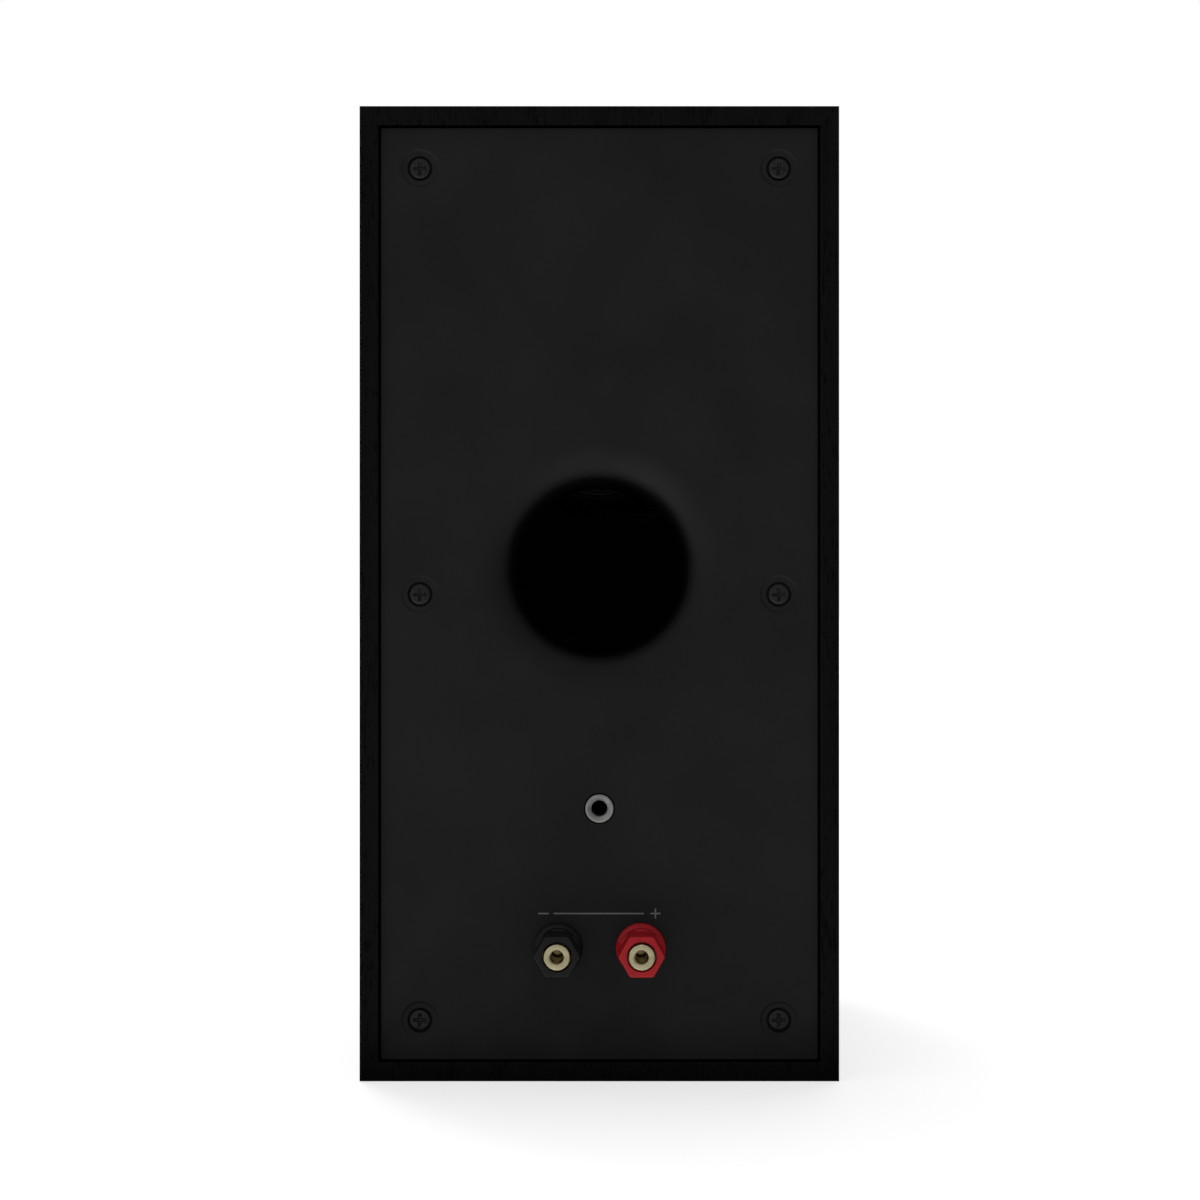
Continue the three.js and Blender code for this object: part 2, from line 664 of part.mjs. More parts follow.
function interior() {
  const group = new THREE.Group();
  addPiece(group, "woofer_lead", twinLead(WOOFER_LEAD), FINISH.wire);
  addPiece(group, "tweeter_lead", twinLead(TWEETER_LEAD), FINISH.wire);
  addPiece(group, "acoustic_wadding", box(-60, 60, -20, 58, 232, 294), FINISH.wadding);
  return group;
}

// ---------------------------------------------------------------- the whole speaker

const speaker = new THREE.Group();
speaker.add(
  cabinet(),
  rearAssembly(),
  bindingPost("negative", POST.x, FINISH.blackPlastic),
  bindingPost("positive", -POST.x, FINISH.redPlastic),
  crossover(),
  woofer(),
  tweeter(),
  grille(),
  interior(),
);

export default speaker;
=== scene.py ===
"""A compact two-way bookshelf speaker with a rear port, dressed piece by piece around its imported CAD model.

The row frame is in metres with +Z up. The grille faces -Y and the rear panel, which the main camera sees,
faces +Y. Outlines of turned and moulded pieces are written in millimetres, from a local origin that comes
from the frame. A turned outline is a row of [radius, y] points, and y grows towards the rear.
"""

import math

import bmesh
import bpy
from mathutils import Matrix, Vector, noise


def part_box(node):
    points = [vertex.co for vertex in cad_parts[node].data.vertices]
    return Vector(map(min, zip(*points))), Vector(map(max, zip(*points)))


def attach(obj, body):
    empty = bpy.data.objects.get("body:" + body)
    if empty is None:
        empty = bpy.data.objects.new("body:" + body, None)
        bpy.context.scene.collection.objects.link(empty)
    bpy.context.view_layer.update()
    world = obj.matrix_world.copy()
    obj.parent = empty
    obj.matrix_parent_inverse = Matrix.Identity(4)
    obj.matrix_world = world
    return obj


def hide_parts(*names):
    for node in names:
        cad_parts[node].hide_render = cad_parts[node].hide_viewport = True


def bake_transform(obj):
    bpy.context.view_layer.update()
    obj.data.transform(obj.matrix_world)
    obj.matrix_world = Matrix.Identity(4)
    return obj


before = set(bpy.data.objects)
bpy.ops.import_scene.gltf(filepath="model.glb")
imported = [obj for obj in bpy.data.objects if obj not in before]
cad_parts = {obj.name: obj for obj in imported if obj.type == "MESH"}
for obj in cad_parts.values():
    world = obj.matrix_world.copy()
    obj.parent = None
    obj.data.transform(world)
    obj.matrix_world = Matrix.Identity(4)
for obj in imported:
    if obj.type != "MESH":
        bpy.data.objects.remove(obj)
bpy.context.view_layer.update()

MM = 0.001
QUARTER_TURN = math.pi / 2

# ---------------- places, all read from the frame


def box_mm(node):
    return [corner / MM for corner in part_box(node)]


def middle(node):
    low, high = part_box(node)
    return (low + high) / 2


def on_axis(node, y):
    """Where the Y axis of a round node meets the plane at y."""
    centre = middle(node)
    return Vector((centre.x, y, centre.z))


REAR_LIP_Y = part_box("top_panel")[1].y
PANEL_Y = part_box("rear_panel")[1].y
BAFFLE_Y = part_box("front_baffle")[0].y
PORT = on_axis("port_tube", PANEL_Y)
INSERT = on_axis("threaded_insert", PANEL_Y)
WOOFER = on_axis("woofer_basket", BAFFLE_Y)
TWEETER = on_axis("tweeter_faceplate", BAFFLE_Y)
POSTS = {sign: on_axis(f"{sign}_post_stud", PANEL_Y) for sign in ("negative", "positive")}
REAR_SCREW_NODES = [f"rear_screw_{i}" for i in range(1, 7)]
REAR_SCREWS = [on_axis(node, PANEL_Y) for node in REAR_SCREW_NODES]
WOOFER_SCREW_NODES = [f"woofer_screw_{i}" for i in range(1, 5)]
WOOFER_SCREWS = [on_axis(node, BAFFLE_Y) for node in WOOFER_SCREW_NODES]

# ---------------- node wiring


class Wiring:
    """A node tree whose nodes are made and joined by short calls."""

    def __init__(self, tree):
        self.tree = tree

    def wire(self, value, socket):
        if isinstance(value, bpy.types.NodeSocket):
            self.tree.links.new(value, socket)
        elif value is not None:
            socket.default_value = value

    def node(self, kind, *inputs, **settings):
        made = self.tree.nodes.new("ShaderNode" + kind)
        for name, value in settings.items():
            setattr(made, name, value)
        for value, socket in zip(inputs, made.inputs):
            self.wire(value, socket)
        return made

    def ramp(self, value, *stops):
        """Maps a value to colours or greys at the given stops."""
        made = self.node("ValToRGB", value)
        elements = made.color_ramp.elements
        while len(elements) < len(stops):
            elements.new(1)
        for element, (position, colour) in zip(elements, stops):
            element.position = position
            element.color = (*colour, 1) if isinstance(colour, tuple) else (colour, colour, colour, 1)
        return made.outputs[0]


class Finish(Wiring):
    """A material. Its patterns lie on the piece's own coordinates, with sizes in metres."""

    def __init__(self, name, colour, roughness, metallic=0.0, specular=0.5, **sockets):
        self.material = bpy.data.materials.new(name)
        self.material.use_nodes = True
        super().__init__(self.material.node_tree)
        self.shader = self.tree.nodes["Principled BSDF"]
        self.set("Base Color", (*colour, 1))
        self.set("Roughness", roughness)
        self.set("Metallic", metallic)
        self.set("Specular IOR Level", specular)
        for label, value in sockets.items():
            self.set(label.replace("_", " "), value)

    def set(self, label, value):
        self.wire(value, self.shader.inputs[label])

    def here(self):
        return self.node("TexCoord").outputs["Object"]

    def axes(self):
        return self.node("SeparateXYZ", self.here()).outputs

    def maths(self, operation, a, b=0.0):
        return self.node("Math", a, b, operation=operation).outputs[0]

    def add(self, a, b):
        return self.maths("ADD", a, b)

    def times(self, a, b):
        return self.maths("MULTIPLY", a, b)

    def wave(self, run, pitch):
        """A sine along a run, whose ridges and valleys are each one pitch wide."""
        return self.maths("SINE", self.times(run, math.pi / pitch))

    def scaled(self, vector, size):
        """The vector counted in features of the given size, one size for all axes or one for each."""
        sizes = size if isinstance(size, tuple) else (size,) * 3
        return self.node("VectorMath", vector, sizes, operation="DIVIDE").outputs[0]

    def noise(self, size, detail=2.0, vector=None):
        spot = self.scaled(vector or self.here(), size)
        return self.node("TexNoise", spot, None, 1, detail).outputs["Fac"]

    def bump(self, height, depth, strength):
        """Relief from a 0 to 1 height. A second call adds to the first."""
        made = self.node("Bump")
        for label, value in (("Strength", strength), ("Distance", depth), ("Height", height)):
            self.wire(value, made.inputs[label])
        for before in self.shader.inputs["Normal"].links:
            self.wire(before.from_socket, made.inputs["Normal"])
        self.set("Normal", made.outputs[0])

    def drift(self, label, low, high, size, detail=3, spread=0.2):
        """Lets a socket drift between two values, in clouds of the given size."""
        self.set(label, self.ramp(self.noise(size, detail), (0.5 - spread, low), (0.5 + spread, high)))

    def grain(self, size, depth, strength, detail=2):
        """Fine relief, the same all over."""
        self.bump(self.noise(size, detail), depth, strength)


# ---------------- camera, lights and stage

CAMERA_DISTANCE = 0.747  # from the plane of the cabinet's rear edges
VIEW_WIDTH = 0.38  # how much of that plane the picture spans
CAMERA_HEIGHT = 0.1525
CAMERA_OFFSET = -0.0002  # how far it stands beside the middle of the cabinet
FILM_WIDTH = 36
SHADE_REACH = 0.025  # how far the shade on the table reaches round the cabinet's foot
FLOOR_SIZE = 40
WHITE = (1, 1, 1, 1)

# The room's brightness from straight below (0) to straight above (1), and its share from -X to +X.
ROOM_GLOW = ((0.0, 1.35), (0.25, 1.12), (0.4, 0.44), (0.52, 0.46), (0.7, 0.5), (1.0, 0.56))
SIDE_GLOW = (0.6, 1.4)


def add_to_scene(name, data, location=(0, 0, 0)):
    obj = bpy.data.objects.new(name, data)
    obj.location = location
    bpy.context.scene.collection.objects.link(obj)
    return obj


def add_camera():
    camera = bpy.data.cameras.new("camera")
    camera.sensor_width = FILM_WIDTH
    camera.lens = FILM_WIDTH * CAMERA_DISTANCE / VIEW_WIDTH
    obj = add_to_scene("camera", camera, (CAMERA_OFFSET, REAR_LIP_Y + CAMERA_DISTANCE, CAMERA_HEIGHT))
    obj.rotation_euler = (QUARTER_TURN, 0, math.pi)
    bpy.context.scene.camera = obj


def add_sun(name, towards, strength, spread):
    """A very wide sun, which is a softbox that lights the whole floor evenly. It shines along towards."""
    light = bpy.data.lights.new(name, "SUN")
    light.energy = strength
    light.angle = math.radians(spread)
    obj = add_to_scene(name, light)
    obj.rotation_euler = Vector(towards).to_track_quat("-Z", "Y").to_euler()


def add_room():
    """A soft room, brightest below and to the +X side, behind a backdrop that comes out as paper white."""
    world = bpy.data.worlds.new("studio")
    world.use_nodes = True
    world.node_tree.nodes.clear()
    bpy.context.scene.world = world
    room = Wiring(world.node_tree)
    axes = room.node("SeparateXYZ", room.node("TexCoord").outputs["Generated"]).outputs
    height = room.node("MapRange", axes["Z"], -1).outputs[0]
    side = room.node("MapRange", axes["X"], -1, None, *SIDE_GLOW).outputs[0]
    walls = room.node("Background", room.ramp(height, *ROOM_GLOW), side).outputs[0]
    paper = room.node("Background", WHITE).outputs[0]
    seen = room.node("LightPath").outputs["Is Camera Ray"]
    room.node("OutputWorld", room.node("MixShader", seen, walls, paper).outputs[0])


def add_plane(name, centre, size, shade, glow):
    """A sheet of matt paper, which is part of the stage and not of the speaker."""
    bpy.ops.mesh.primitive_plane_add(size=1, location=centre)
    plane = bpy.context.object
    plane.name = name
    plane.scale = (*size, 1)
    paper = Finish("paper", (shade,) * 3, 0.9, specular=0.0, Emission_Color=WHITE, Emission_Strength=glow)
    paper.grain(size=0.004, depth=0.00002, strength=0.1, detail=3)
    plane.data.materials.append(paper.material)
    return plane


def add_stage():
    """Soft studio light over a white light table, which glows a little itself. The table takes shadows but
    is kept out of reflections, so that the black panel reads evenly. A dark card under it, which only
    reflections see, stands for the shade on the table round the foot of the cabinet."""
    bpy.context.scene.view_settings.view_transform = "Standard"
    add_room()
    add_sun("key_softbox", towards=(-0.25, 0.52, -0.81), strength=0.56, spread=15)
    add_sun("front_softbox", towards=(0, 0.26, -0.96), strength=1.05, spread=26)
    floor = add_plane("floor", (0, 0, 0), (FLOOR_SIZE, FLOOR_SIZE), shade=0.5, glow=0.65)
    floor.visible_diffuse = False
    floor.visible_glossy = False
    low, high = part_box("bottom_panel")
    centre = (low + high) / 2
    footprint = high - low + 2 * Vector((SHADE_REACH, SHADE_REACH, 0))
    card = add_plane("shade_card", (centre.x, centre.y, -MM), footprint[:2], shade=0.005, glow=0.0)
    card.visible_camera = False
    card.visible_shadow = False


# ---------------- mesh making

CREASE = 34  # degrees; a sharper edge stays crisp
COARSE_CREASE = 50  # for screws, whose few facets meet at larger angles
SLIGHT_BEND = 12  # degrees; an outline's bend below this isn't rounded
CORNER_SHARE = 0.45  # of an outline's side, at most, that one rounded corner takes
WELD = 1e-5


def from_bmesh(name, bm, origin=(0, 0, 0), crease=CREASE):
    bmesh.ops.recalc_face_normals(bm, faces=bm.faces)
    mesh = bpy.data.meshes.new(name)
    bm.to_mesh(mesh)
    bm.free()
    obj = add_to_scene(name, mesh, origin)
    shade_smoothly(obj, crease)
    return obj


def shade_smoothly(obj, crease=CREASE):
    """Smooth shading whose flat faces stay flat and whose corners stay crisp."""
    obj.data.shade_smooth()
    obj.data.set_sharp_from_angle(angle=math.radians(crease))
    weigh_normals(obj)


def weigh_normals(obj):
    obj.modifiers.new("weighted_normals", "WEIGHTED_NORMAL").keep_sharp = True


def ring(bm, y, points):
    """Vertices at (x, z) points in millimetres, all at the same y."""
    return [bm.verts.new((x * MM, y * MM, z * MM)) for x, z in points]


def skin(bm, rows):
    """Joins each row of vertices to the next with faces. A row of one vertex is the tip of a cap."""
    for a, b in zip(rows, rows[1:]):
        count = max(len(a), len(b))
        for i in range(count if count > 1 else 0):
            j = i + 1
            corners = (a[i % len(a)], a[j % len(a)], b[j % len(b)], b[i % len(b)])
            bm.faces.new(tuple(dict.fromkeys(corners)))


def loft(name, rings, origin=(0, 0, 0), closed=True, crease=CREASE):
    """Skins a row of rings, each (y, points). A closed row joins its last ring to its first; an open row
    gets flat ends."""
    bm = bmesh.new()
    rows = [ring(bm, y, points) for y, points in rings]
    skin(bm, [*rows, rows[0]] if closed else rows)
    if not closed:
        for end in (rows[0], rows[-1]):
            if len(end) > 1:
                bm.faces.new(end)
    return from_bmesh(name, bm, origin, crease)


def circle(radius, sides=96):
    if radius == 0:
        return [(0, 0)]
    turn = 2 * math.pi / sides
    return [(radius * math.cos(i * turn), radius * math.sin(i * turn)) for i in range(sides)]


def hexagon(apothem, reach, sides=96):
    """A hexagon with flats above and below, its corners cut off round at a radius of reach."""
    points = []
    for i in range(sides):
        angle = 2 * math.pi * i / sides
        off_flat = angle % (math.pi / 3) - math.pi / 6
        radius = min(apothem / math.cos(off_flat), reach)
        points.append((radius * math.cos(angle), radius * math.sin(angle)))
    return points


def plus(arm, half_width):
    """A cross-shaped ring, for a screw's recess."""
    a, w = arm, half_width
    quarter = [(a, -w), (a, w), (w, w)]
    half = [*quarter, *[(-z, x) for x, z in quarter]]
    return [*half, *[(-x, -z) for x, z in half]]


def turned(name, outline, origin=(0, 0, 0), sides=96, fillet=0.0, crease=CREASE):
    """A piece turned about the Y axis through origin. An outline that starts and ends on the axis stays open
    there; any other is closed."""
    closed = not (outline[0][0] == 0 and outline[-1][0] == 0)
    if fillet:
        outline = rounded(outline, fillet, closed)
    return loft(name, [(y, circle(radius, sides)) for radius, y in outline], origin, closed, crease)


def ring_outline(inner, outer, front, back):
    """The outline of a plain ring."""
    return [[inner, front], [outer, front], [outer, back], [inner, back]]


def shell_outline(line, thickness):
    """The outline of a thin shell whose front surface follows the line."""
    return [*line, *[[radius, y + thickness] for radius, y in reversed(line)]]


def curve(start, pull, end, steps):
    """Points along a curve that leaves start towards pull and comes in to end from it."""
    ts = [step / steps for step in range(steps + 1)]
    return [start * (1 - t) ** 2 + pull * 2 * t * (1 - t) + end * t**2 for t in ts]


def rounded(outline, radius, closed):
    """The outline with each corner replaced by a short curve."""
    points = [Vector(p) for p in outline]
    count = len(points)
    result = []
    for i, corner in enumerate(points):
        before = points[i - 1] - corner
        after = points[(i + 1) % count] - corner
        bend = math.pi - before.angle(after, math.pi)
        at_end = not closed and i in (0, count - 1)
        if at_end or bend < math.radians(SLIGHT_BEND):
            result.append(corner)
            continue
        longest = min(CORNER_SHARE * before.length, CORNER_SHARE * after.length)
        cut = min(radius * math.tan(bend / 2), longest)
        result += curve(corner + before.normalized() * cut, corner, corner + after.normalized() * cut, 3)
    return [[p.x, p.y] for p in result]


def arc(centre_radius, centre_y, radius, start, end, steps):
    """Points along an arc in the [radius, y] plane, between two angles in degrees."""
    angles = [math.radians(start + (end - start) * i / steps) for i in range(steps + 1)]
    return [[centre_radius + radius * math.cos(a), centre_y + radius * math.sin(a)] for a in angles]


def round_opening(centre, sides=48):
    """A family of circles about a point of the row frame, by radius in millimetres."""
    return lambda radius: [(centre.x / MM + x, centre.z / MM + z) for x, z in circle(radius, sides)]


def box_opening(x0, x1, z0, z1, corner, steps=6):
    """A family of rounded rectangles, by how far in millimetres they grow past the given one."""

    def loop(grow):
        radius = max(corner + grow, 0.05)
        left, right = x0 - grow + radius, x1 + grow - radius
        low, high = z0 - grow + radius, z1 + grow - radius
        points = []
        for quarter, (x, z) in enumerate([(right, high), (left, high), (left, low), (right, low)]):
            for step in range(steps + 1):
                angle = QUARTER_TURN * (quarter + step / steps)
                points.append((x + radius * math.cos(angle), z + radius * math.sin(angle)))
        return points

    return loop


def board(name, edge, openings=()):
    """A closed board standing in the XZ plane. The edge and every opening are (loop, band): band lists
    (size, y) from one face of the board to the other, and loop(size) is the ring of (x, z) points there."""
    bm = bmesh.new()
    face_edges = ([], [])
    for loop, band in (edge, *openings):
        rows = [ring(bm, y, loop(size)) for size, y in band]
        skin(bm, rows)
        for edges, row in zip(face_edges, (rows[0], rows[-1])):
            edges += [bm.edges.get((row[i - 1], row[i])) for i in range(len(row))]
    for edges in face_edges:
        bmesh.ops.triangle_fill(bm, use_beauty=True, edges=edges, normal=(0, 1, 0))
    return from_bmesh(name, bm)


def cad_shape(node):
    """A CAD node's solid as a bmesh, with whole faces in place of its triangles."""
    bm = bmesh.new()
    bm.from_mesh(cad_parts[node].data)
    bmesh.ops.remove_doubles(bm, verts=bm.verts, dist=WELD)
    bmesh.ops.dissolve_limit(bm, angle_limit=math.radians(1), verts=bm.verts, edges=bm.edges)
    bm.normal_update()
    return bm


def is_mitre(face):
    """Whether a face is cut at a slant across the corner of the box."""
    return abs(face.normal.x) > 0.3 and abs(face.normal.z) > 0.3


def softened(node, name, width, steps=3, mitre_gap=0.0):
    """A CAD node's own shape with its sharp edges eased. A mitre stays sharp, and closes up by its gap."""
    bm = cad_shape(node)
    mitres = [face for face in bm.faces if is_mitre(face)]
    for face in mitres:
        for vertex in face.verts:
            vertex.co += face.normal * mitre_gap
    cut = {edge for face in mitres for edge in face.edges}
    corners = [e for e in bm.edges if e not in cut and e.calc_face_angle(0) > math.radians(25)]
    bmesh.ops.bevel(bm, geom=corners, offset=width, segments=steps, profile=0.5, affect="EDGES")
    return from_bmesh(name, bm)


def combine(target, tool, operation="DIFFERENCE"):
    """Cuts the tool out of the target, or joins them in a UNION, and throws the tool away."""
    target.modifiers.clear()
    modifier = target.modifiers.new("combine", "BOOLEAN")
    modifier.operation = operation
    modifier.solver = "EXACT"
    modifier.object = tool
    evaluated = target.evaluated_get(bpy.context.evaluated_depsgraph_get())
    mesh = bpy.data.meshes.new_from_object(evaluated)
    target.modifiers.clear()
    target.data = mesh
    bpy.data.objects.remove(tool)
    shade_smoothly(target)


def smooth_path(points, steps):
    """A Catmull-Rom curve through the points."""
    knots = [Vector(p) for p in points]
    knots = [knots[0] * 2 - knots[1], *knots, knots[-1] * 2 - knots[-2]]
    path = []
    for a, b, c, d in zip(knots, knots[1:], knots[2:], knots[3:]):
        linear, square, cube = c - a, 2 * a - 5 * b + 4 * c - d, 3 * b - a - 3 * c + d
        ts = [step / steps for step in range(steps)]
        path += [0.5 * (2 * b + linear * t + square * t**2 + cube * t**3) for t in ts]
    path.append(knots[-2])
    return path


def tube(name, path, radius, shift, sides=14):
    """A round tube along a path, shifted sideways from it. Its section turns as little as it can."""
    bm = bmesh.new()
    normal = Vector((1, 0, 0))
    rows = []
    for i, point in enumerate(path):
        ahead = path[min(i + 1, len(path) - 1)] - path[max(i - 1, 0)]
        ahead.normalize()
        normal = (normal - ahead * normal.dot(ahead)).normalized()
        across = ahead.cross(normal)
        offsets = [normal * (shift + x) + across * z for x, z in circle(radius, sides)]
        rows.append([bm.verts.new((point + offset) * MM) for offset in offsets])
    skin(bm, rows)
    bm.faces.new(rows[0])
    bm.faces.new(rows[-1])
    return from_bmesh(name, bm)


def place(obj, finish, replaced=(), body="cabinet"):
    """Gives a piece its finish and the body it moves with, and hides the CAD node it stands for."""
    obj.data.materials.clear()
    obj.data.materials.append(finish)
    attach(obj, body)
    if replaced:
        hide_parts(replaced)


# ---------------- finishes

VINYL_PORE = (0.0004, 0.0004, 0.0004)
VINYL_DARK = (0.0016, 0.0016, 0.0015)
VINYL_LIGHT = (0.0034, 0.0033, 0.0032)


def finish_vinyl(name, along_sides):
    """Black vinyl embossed with wood grain: slow bands, fine threads and short pores that lie in loose
    clusters. The grain folds over the rear edges with the sheet."""
    finish = Finish(name, VINYL_LIGHT, 0.48, specular=0.08)
    x, y, z = finish.axes()
    across, along = (finish.add(x, y), z) if along_sides else (x, finish.add(y, z))
    straight = finish.node("CombineXYZ", across, along, 0.0).outputs[0]
    sway = finish.times(finish.noise((0.045, 0.13, 1), 2, straight), 0.012)
    grain = finish.node("CombineXYZ", finish.add(across, sway), along, 0.0).outputs[0]
    bands = finish.noise((0.006, 0.22, 1), 3, grain)
    threads = finish.noise((0.0005, 0.016, 1), 2, grain)
    clusters = finish.noise((0.008, 0.03, 1), 2, grain)
    dashes = finish.noise((0.0007, 0.0058, 1), 2, grain)
    crowded = finish.add(dashes, finish.times(clusters, 0.55))
    pores = finish.ramp(crowded, (0.87, 0.0), (0.93, 1.0))
    tone = finish.add(finish.times(bands, 0.65), finish.times(threads, 0.35))
    worn = finish.maths("SUBTRACT", tone, finish.times(pores, 0.4))
    finish.set("Base Color", finish.ramp(worn, (0.1, VINYL_PORE), (0.4, VINYL_DARK), (0.62, VINYL_LIGHT)))
    finish.set("Roughness", finish.ramp(worn, (0.1, 0.75), (0.4, 0.52), (0.65, 0.42)))
    finish.bump(finish.ramp(crowded, (0.85, 1.0), (0.93, 0.0)), depth=0.00016, strength=0.9)
    finish.bump(threads, depth=0.00005, strength=0.5)
    return finish.material


def finish_moulding(name="black_moulding", colour=(0.01, 0.01, 0.0101), specular=0.15, roughness=0.55):
    """Black moulded plastic with a fine spark-eroded texture."""
    finish = Finish(name, colour, roughness, specular=specular)
    low, high = (tuple(share * c for c in colour) for share in (0.85, 1.2))
    finish.drift("Base Color", low, high, size=0.03, detail=2)
    finish.drift("Roughness", roughness - 0.06, roughness + 0.08, size=0.012)
    finish.grain(size=0.00035, depth=0.00005, strength=0.55, detail=3)
    return finish.material


def finish_baffle():
    """Satin black paint in front; the back, inside the box, only has a dead-matt primer."""
    finish = Finish("black_baffle_paint", (0.01, 0.01, 0.0104), 0.4, specular=0.22)
    inside = finish.maths("GREATER_THAN", finish.axes()[1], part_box("front_baffle")[1].y - 0.3 * MM)
    satin = finish.ramp(finish.noise(0.02, 3), (0.3, 0.34), (0.7, 0.46))
    finish.set("Roughness", finish.maths("MAXIMUM", satin, inside))
    finish.grain(size=0.0011, depth=0.00003, strength=0.35)
    return finish.material


def finish_cap(name, colour, dark, roughness, specular=0.5):
    """Semi-gloss moulded plastic, a little uneven in colour and sheen."""
    finish = Finish(name, colour, roughness, specular=specular)
    finish.drift("Base Color", dark, colour, size=0.006)
    finish.drift("Roughness", roughness - 0.06, roughness + 0.1, size=0.0025)
    finish.grain(size=0.0004, depth=0.00002, strength=0.35)
    return finish.material


def finish_turned_metal(name, colour, dark, roughness, pitch):
    """Metal straight off a lathe: fine rings about the piece's Y axis, and a slightly cloudy plating."""
    finish = Finish(name, colour, roughness, 1.0)
    finish.drift("Base Color", dark, colour, size=0.003, spread=0.15)
    finish.drift("Roughness", roughness - 0.07, roughness + 0.1, size=0.0012)
    flat = finish.node("VectorMath", finish.here(), (1, 0, 1), operation="MULTIPLY").outputs[0]
    radius = finish.node("VectorMath", flat, operation="LENGTH").outputs["Value"]
    finish.bump(finish.wave(radius, pitch / 2), depth=0.000008, strength=0.6)
    return finish.material


def finish_sheet_metal(name, colour, dark, roughness):
    """Plated or pressed steel with faint streaks and spots."""
    finish = Finish(name, colour, roughness, 1.0)
    finish.drift("Base Color", dark, colour, size=(0.004, 0.02, 0.004), detail=4)
    finish.drift("Roughness", roughness - 0.08, roughness + 0.14, size=0.002, detail=4)
    finish.grain(size=0.0008, depth=0.00002, strength=0.4, detail=3)
    return finish.material


def finish_screw():
    finish = Finish("black_screw_oxide", (0.016, 0.016, 0.0165), 0.42, 0.3, 0.25)
    finish.drift("Base Color", (0.012, 0.012, 0.0125), (0.021, 0.021, 0.0215), size=0.0012)
    finish.drift("Roughness", 0.3, 0.48, size=0.0007)
    finish.grain(size=0.0003, depth=0.000015, strength=0.4)
    return finish.material


def finish_powder_coat():
    finish = Finish("black_powder_coat", (0.013, 0.013, 0.0135), 0.42)
    finish.drift("Roughness", 0.36, 0.5, size=0.01, detail=2)
    finish.grain(size=0.0009, depth=0.00006, strength=0.4)
    return finish.material


def finish_rubber():
    finish = Finish("surround_rubber", (0.014, 0.014, 0.0145), 0.58, specular=0.4)
    finish.drift("Base Color", (0.010, 0.010, 0.0105), (0.018, 0.018, 0.0185), size=0.01)
    finish.drift("Roughness", 0.5, 0.7, size=0.004, detail=4)
    finish.grain(size=0.0004, depth=0.00002, strength=0.3)
    return finish.material


def finish_cone():
    """Coated paper pulp: short fibres lie every way under a thin satin coat."""
    finish = Finish("cone_pulp", (0.018, 0.018, 0.019), 0.5, specular=0.4)
    dark, pale = (0.011, 0.011, 0.012), (0.028, 0.028, 0.029)
    standing, lying = (finish.noise(size, 4) for size in ((0.0003, 0.0012, 0.003), (0.003, 0.0012, 0.0003)))
    fibres = finish.add(finish.times(standing, 0.5), finish.times(lying, 0.5))
    finish.set("Base Color", finish.ramp(fibres, (0.35, dark), (0.65, pale)))
    finish.set("Roughness", finish.ramp(fibres, (0.35, 0.6), (0.65, 0.42)))
    finish.bump(fibres, depth=0.00012, strength=0.6)
    return finish.material


def finish_dust_cap():
    finish = Finish("dust_cap_satin", (0.012, 0.012, 0.013), 0.34)
    finish.drift("Roughness", 0.28, 0.42, size=0.003)
    finish.grain(size=0.0011, depth=0.00004, strength=0.35, detail=3)
    return finish.material


def finish_weave(name, colour, dark, pitch, roughness=0.9):
    """A plain weave: threads rise and dip in turn, and long slubs show paler here and there."""
    finish = Finish(name, colour, roughness, specular=0.15, Sheen_Weight=0.12, Sheen_Roughness=0.5)
    x, _, z = finish.axes()
    warp, weft = finish.wave(x, pitch), finish.wave(z, pitch)
    height = finish.maths("MAXIMUM", finish.maths("ABSOLUTE", warp), finish.maths("ABSOLUTE", weft))
    over = finish.times(warp, weft)
    woven = finish.add(finish.times(height, 0.6), finish.times(over, 0.2))
    fuzz = finish.noise(0.0004, 3)
    thick = 1.3 * pitch
    slubs = finish.maths("MAXIMUM", finish.noise((0.018, 1, thick), 2), finish.noise((thick, 1, 0.018), 2))
    uneven = finish.add(finish.times(fuzz, 0.2), finish.ramp(slubs, (0.45, 0.0), (0.75, 1.0)))
    tone = finish.times(woven, finish.add(uneven, 0.5))
    # Partly painted shade: the colour darkens where the threads dip, following the bump height. The paler
    # slubs and fuzz are the cloth's own tone.
    finish.set("Base Color", finish.ramp(tone, (0.2, dark), (0.9, colour)))
    finish.bump(woven, depth=0.00025, strength=0.8)
    finish.bump(fuzz, depth=0.00005, strength=0.4)
    return finish.material


def finish_winding(pitch):
    """Enamelled copper wire wound in close turns along the piece's Y axis."""
    colour, dark = (0.66, 0.26, 0.10), (0.25, 0.08, 0.03)
    finish = Finish("copper_winding", colour, 0.3, 0.9, Coat_Weight=0.4, Coat_Roughness=0.15)
    turns = finish.maths("ABSOLUTE", finish.wave(finish.axes()[1], pitch))
    # Painted shade: the colour darkens in the grooves between the turns, where the bump dips.
    finish.set("Base Color", finish.ramp(turns, (0.05, dark), (0.45, colour)))
    finish.bump(turns, depth=pitch / 2, strength=0.8)
    return finish.material


def finish_circuit():
    """Green solder mask over wide copper tracks."""
    finish = Finish("circuit_board", (0.02, 0.13, 0.055), 0.35)
    upright = finish.node("Mapping", finish.here(), None, (QUARTER_TURN, 0, 0)).outputs[0]
    tracks = finish.node("TexBrick", finish.scaled(upright, 0.012))
    tracks.inputs["Scale"].default_value = 1
    tracks.inputs["Mortar Size"].default_value = 0.06
    gaps = tracks.outputs["Fac"]
    finish.set("Base Color", finish.ramp(gaps, (0.3, (0.03, 0.19, 0.075)), (0.6, (0.012, 0.08, 0.035))))
    finish.bump(gaps, depth=0.00004, strength=0.5)
    return finish.material


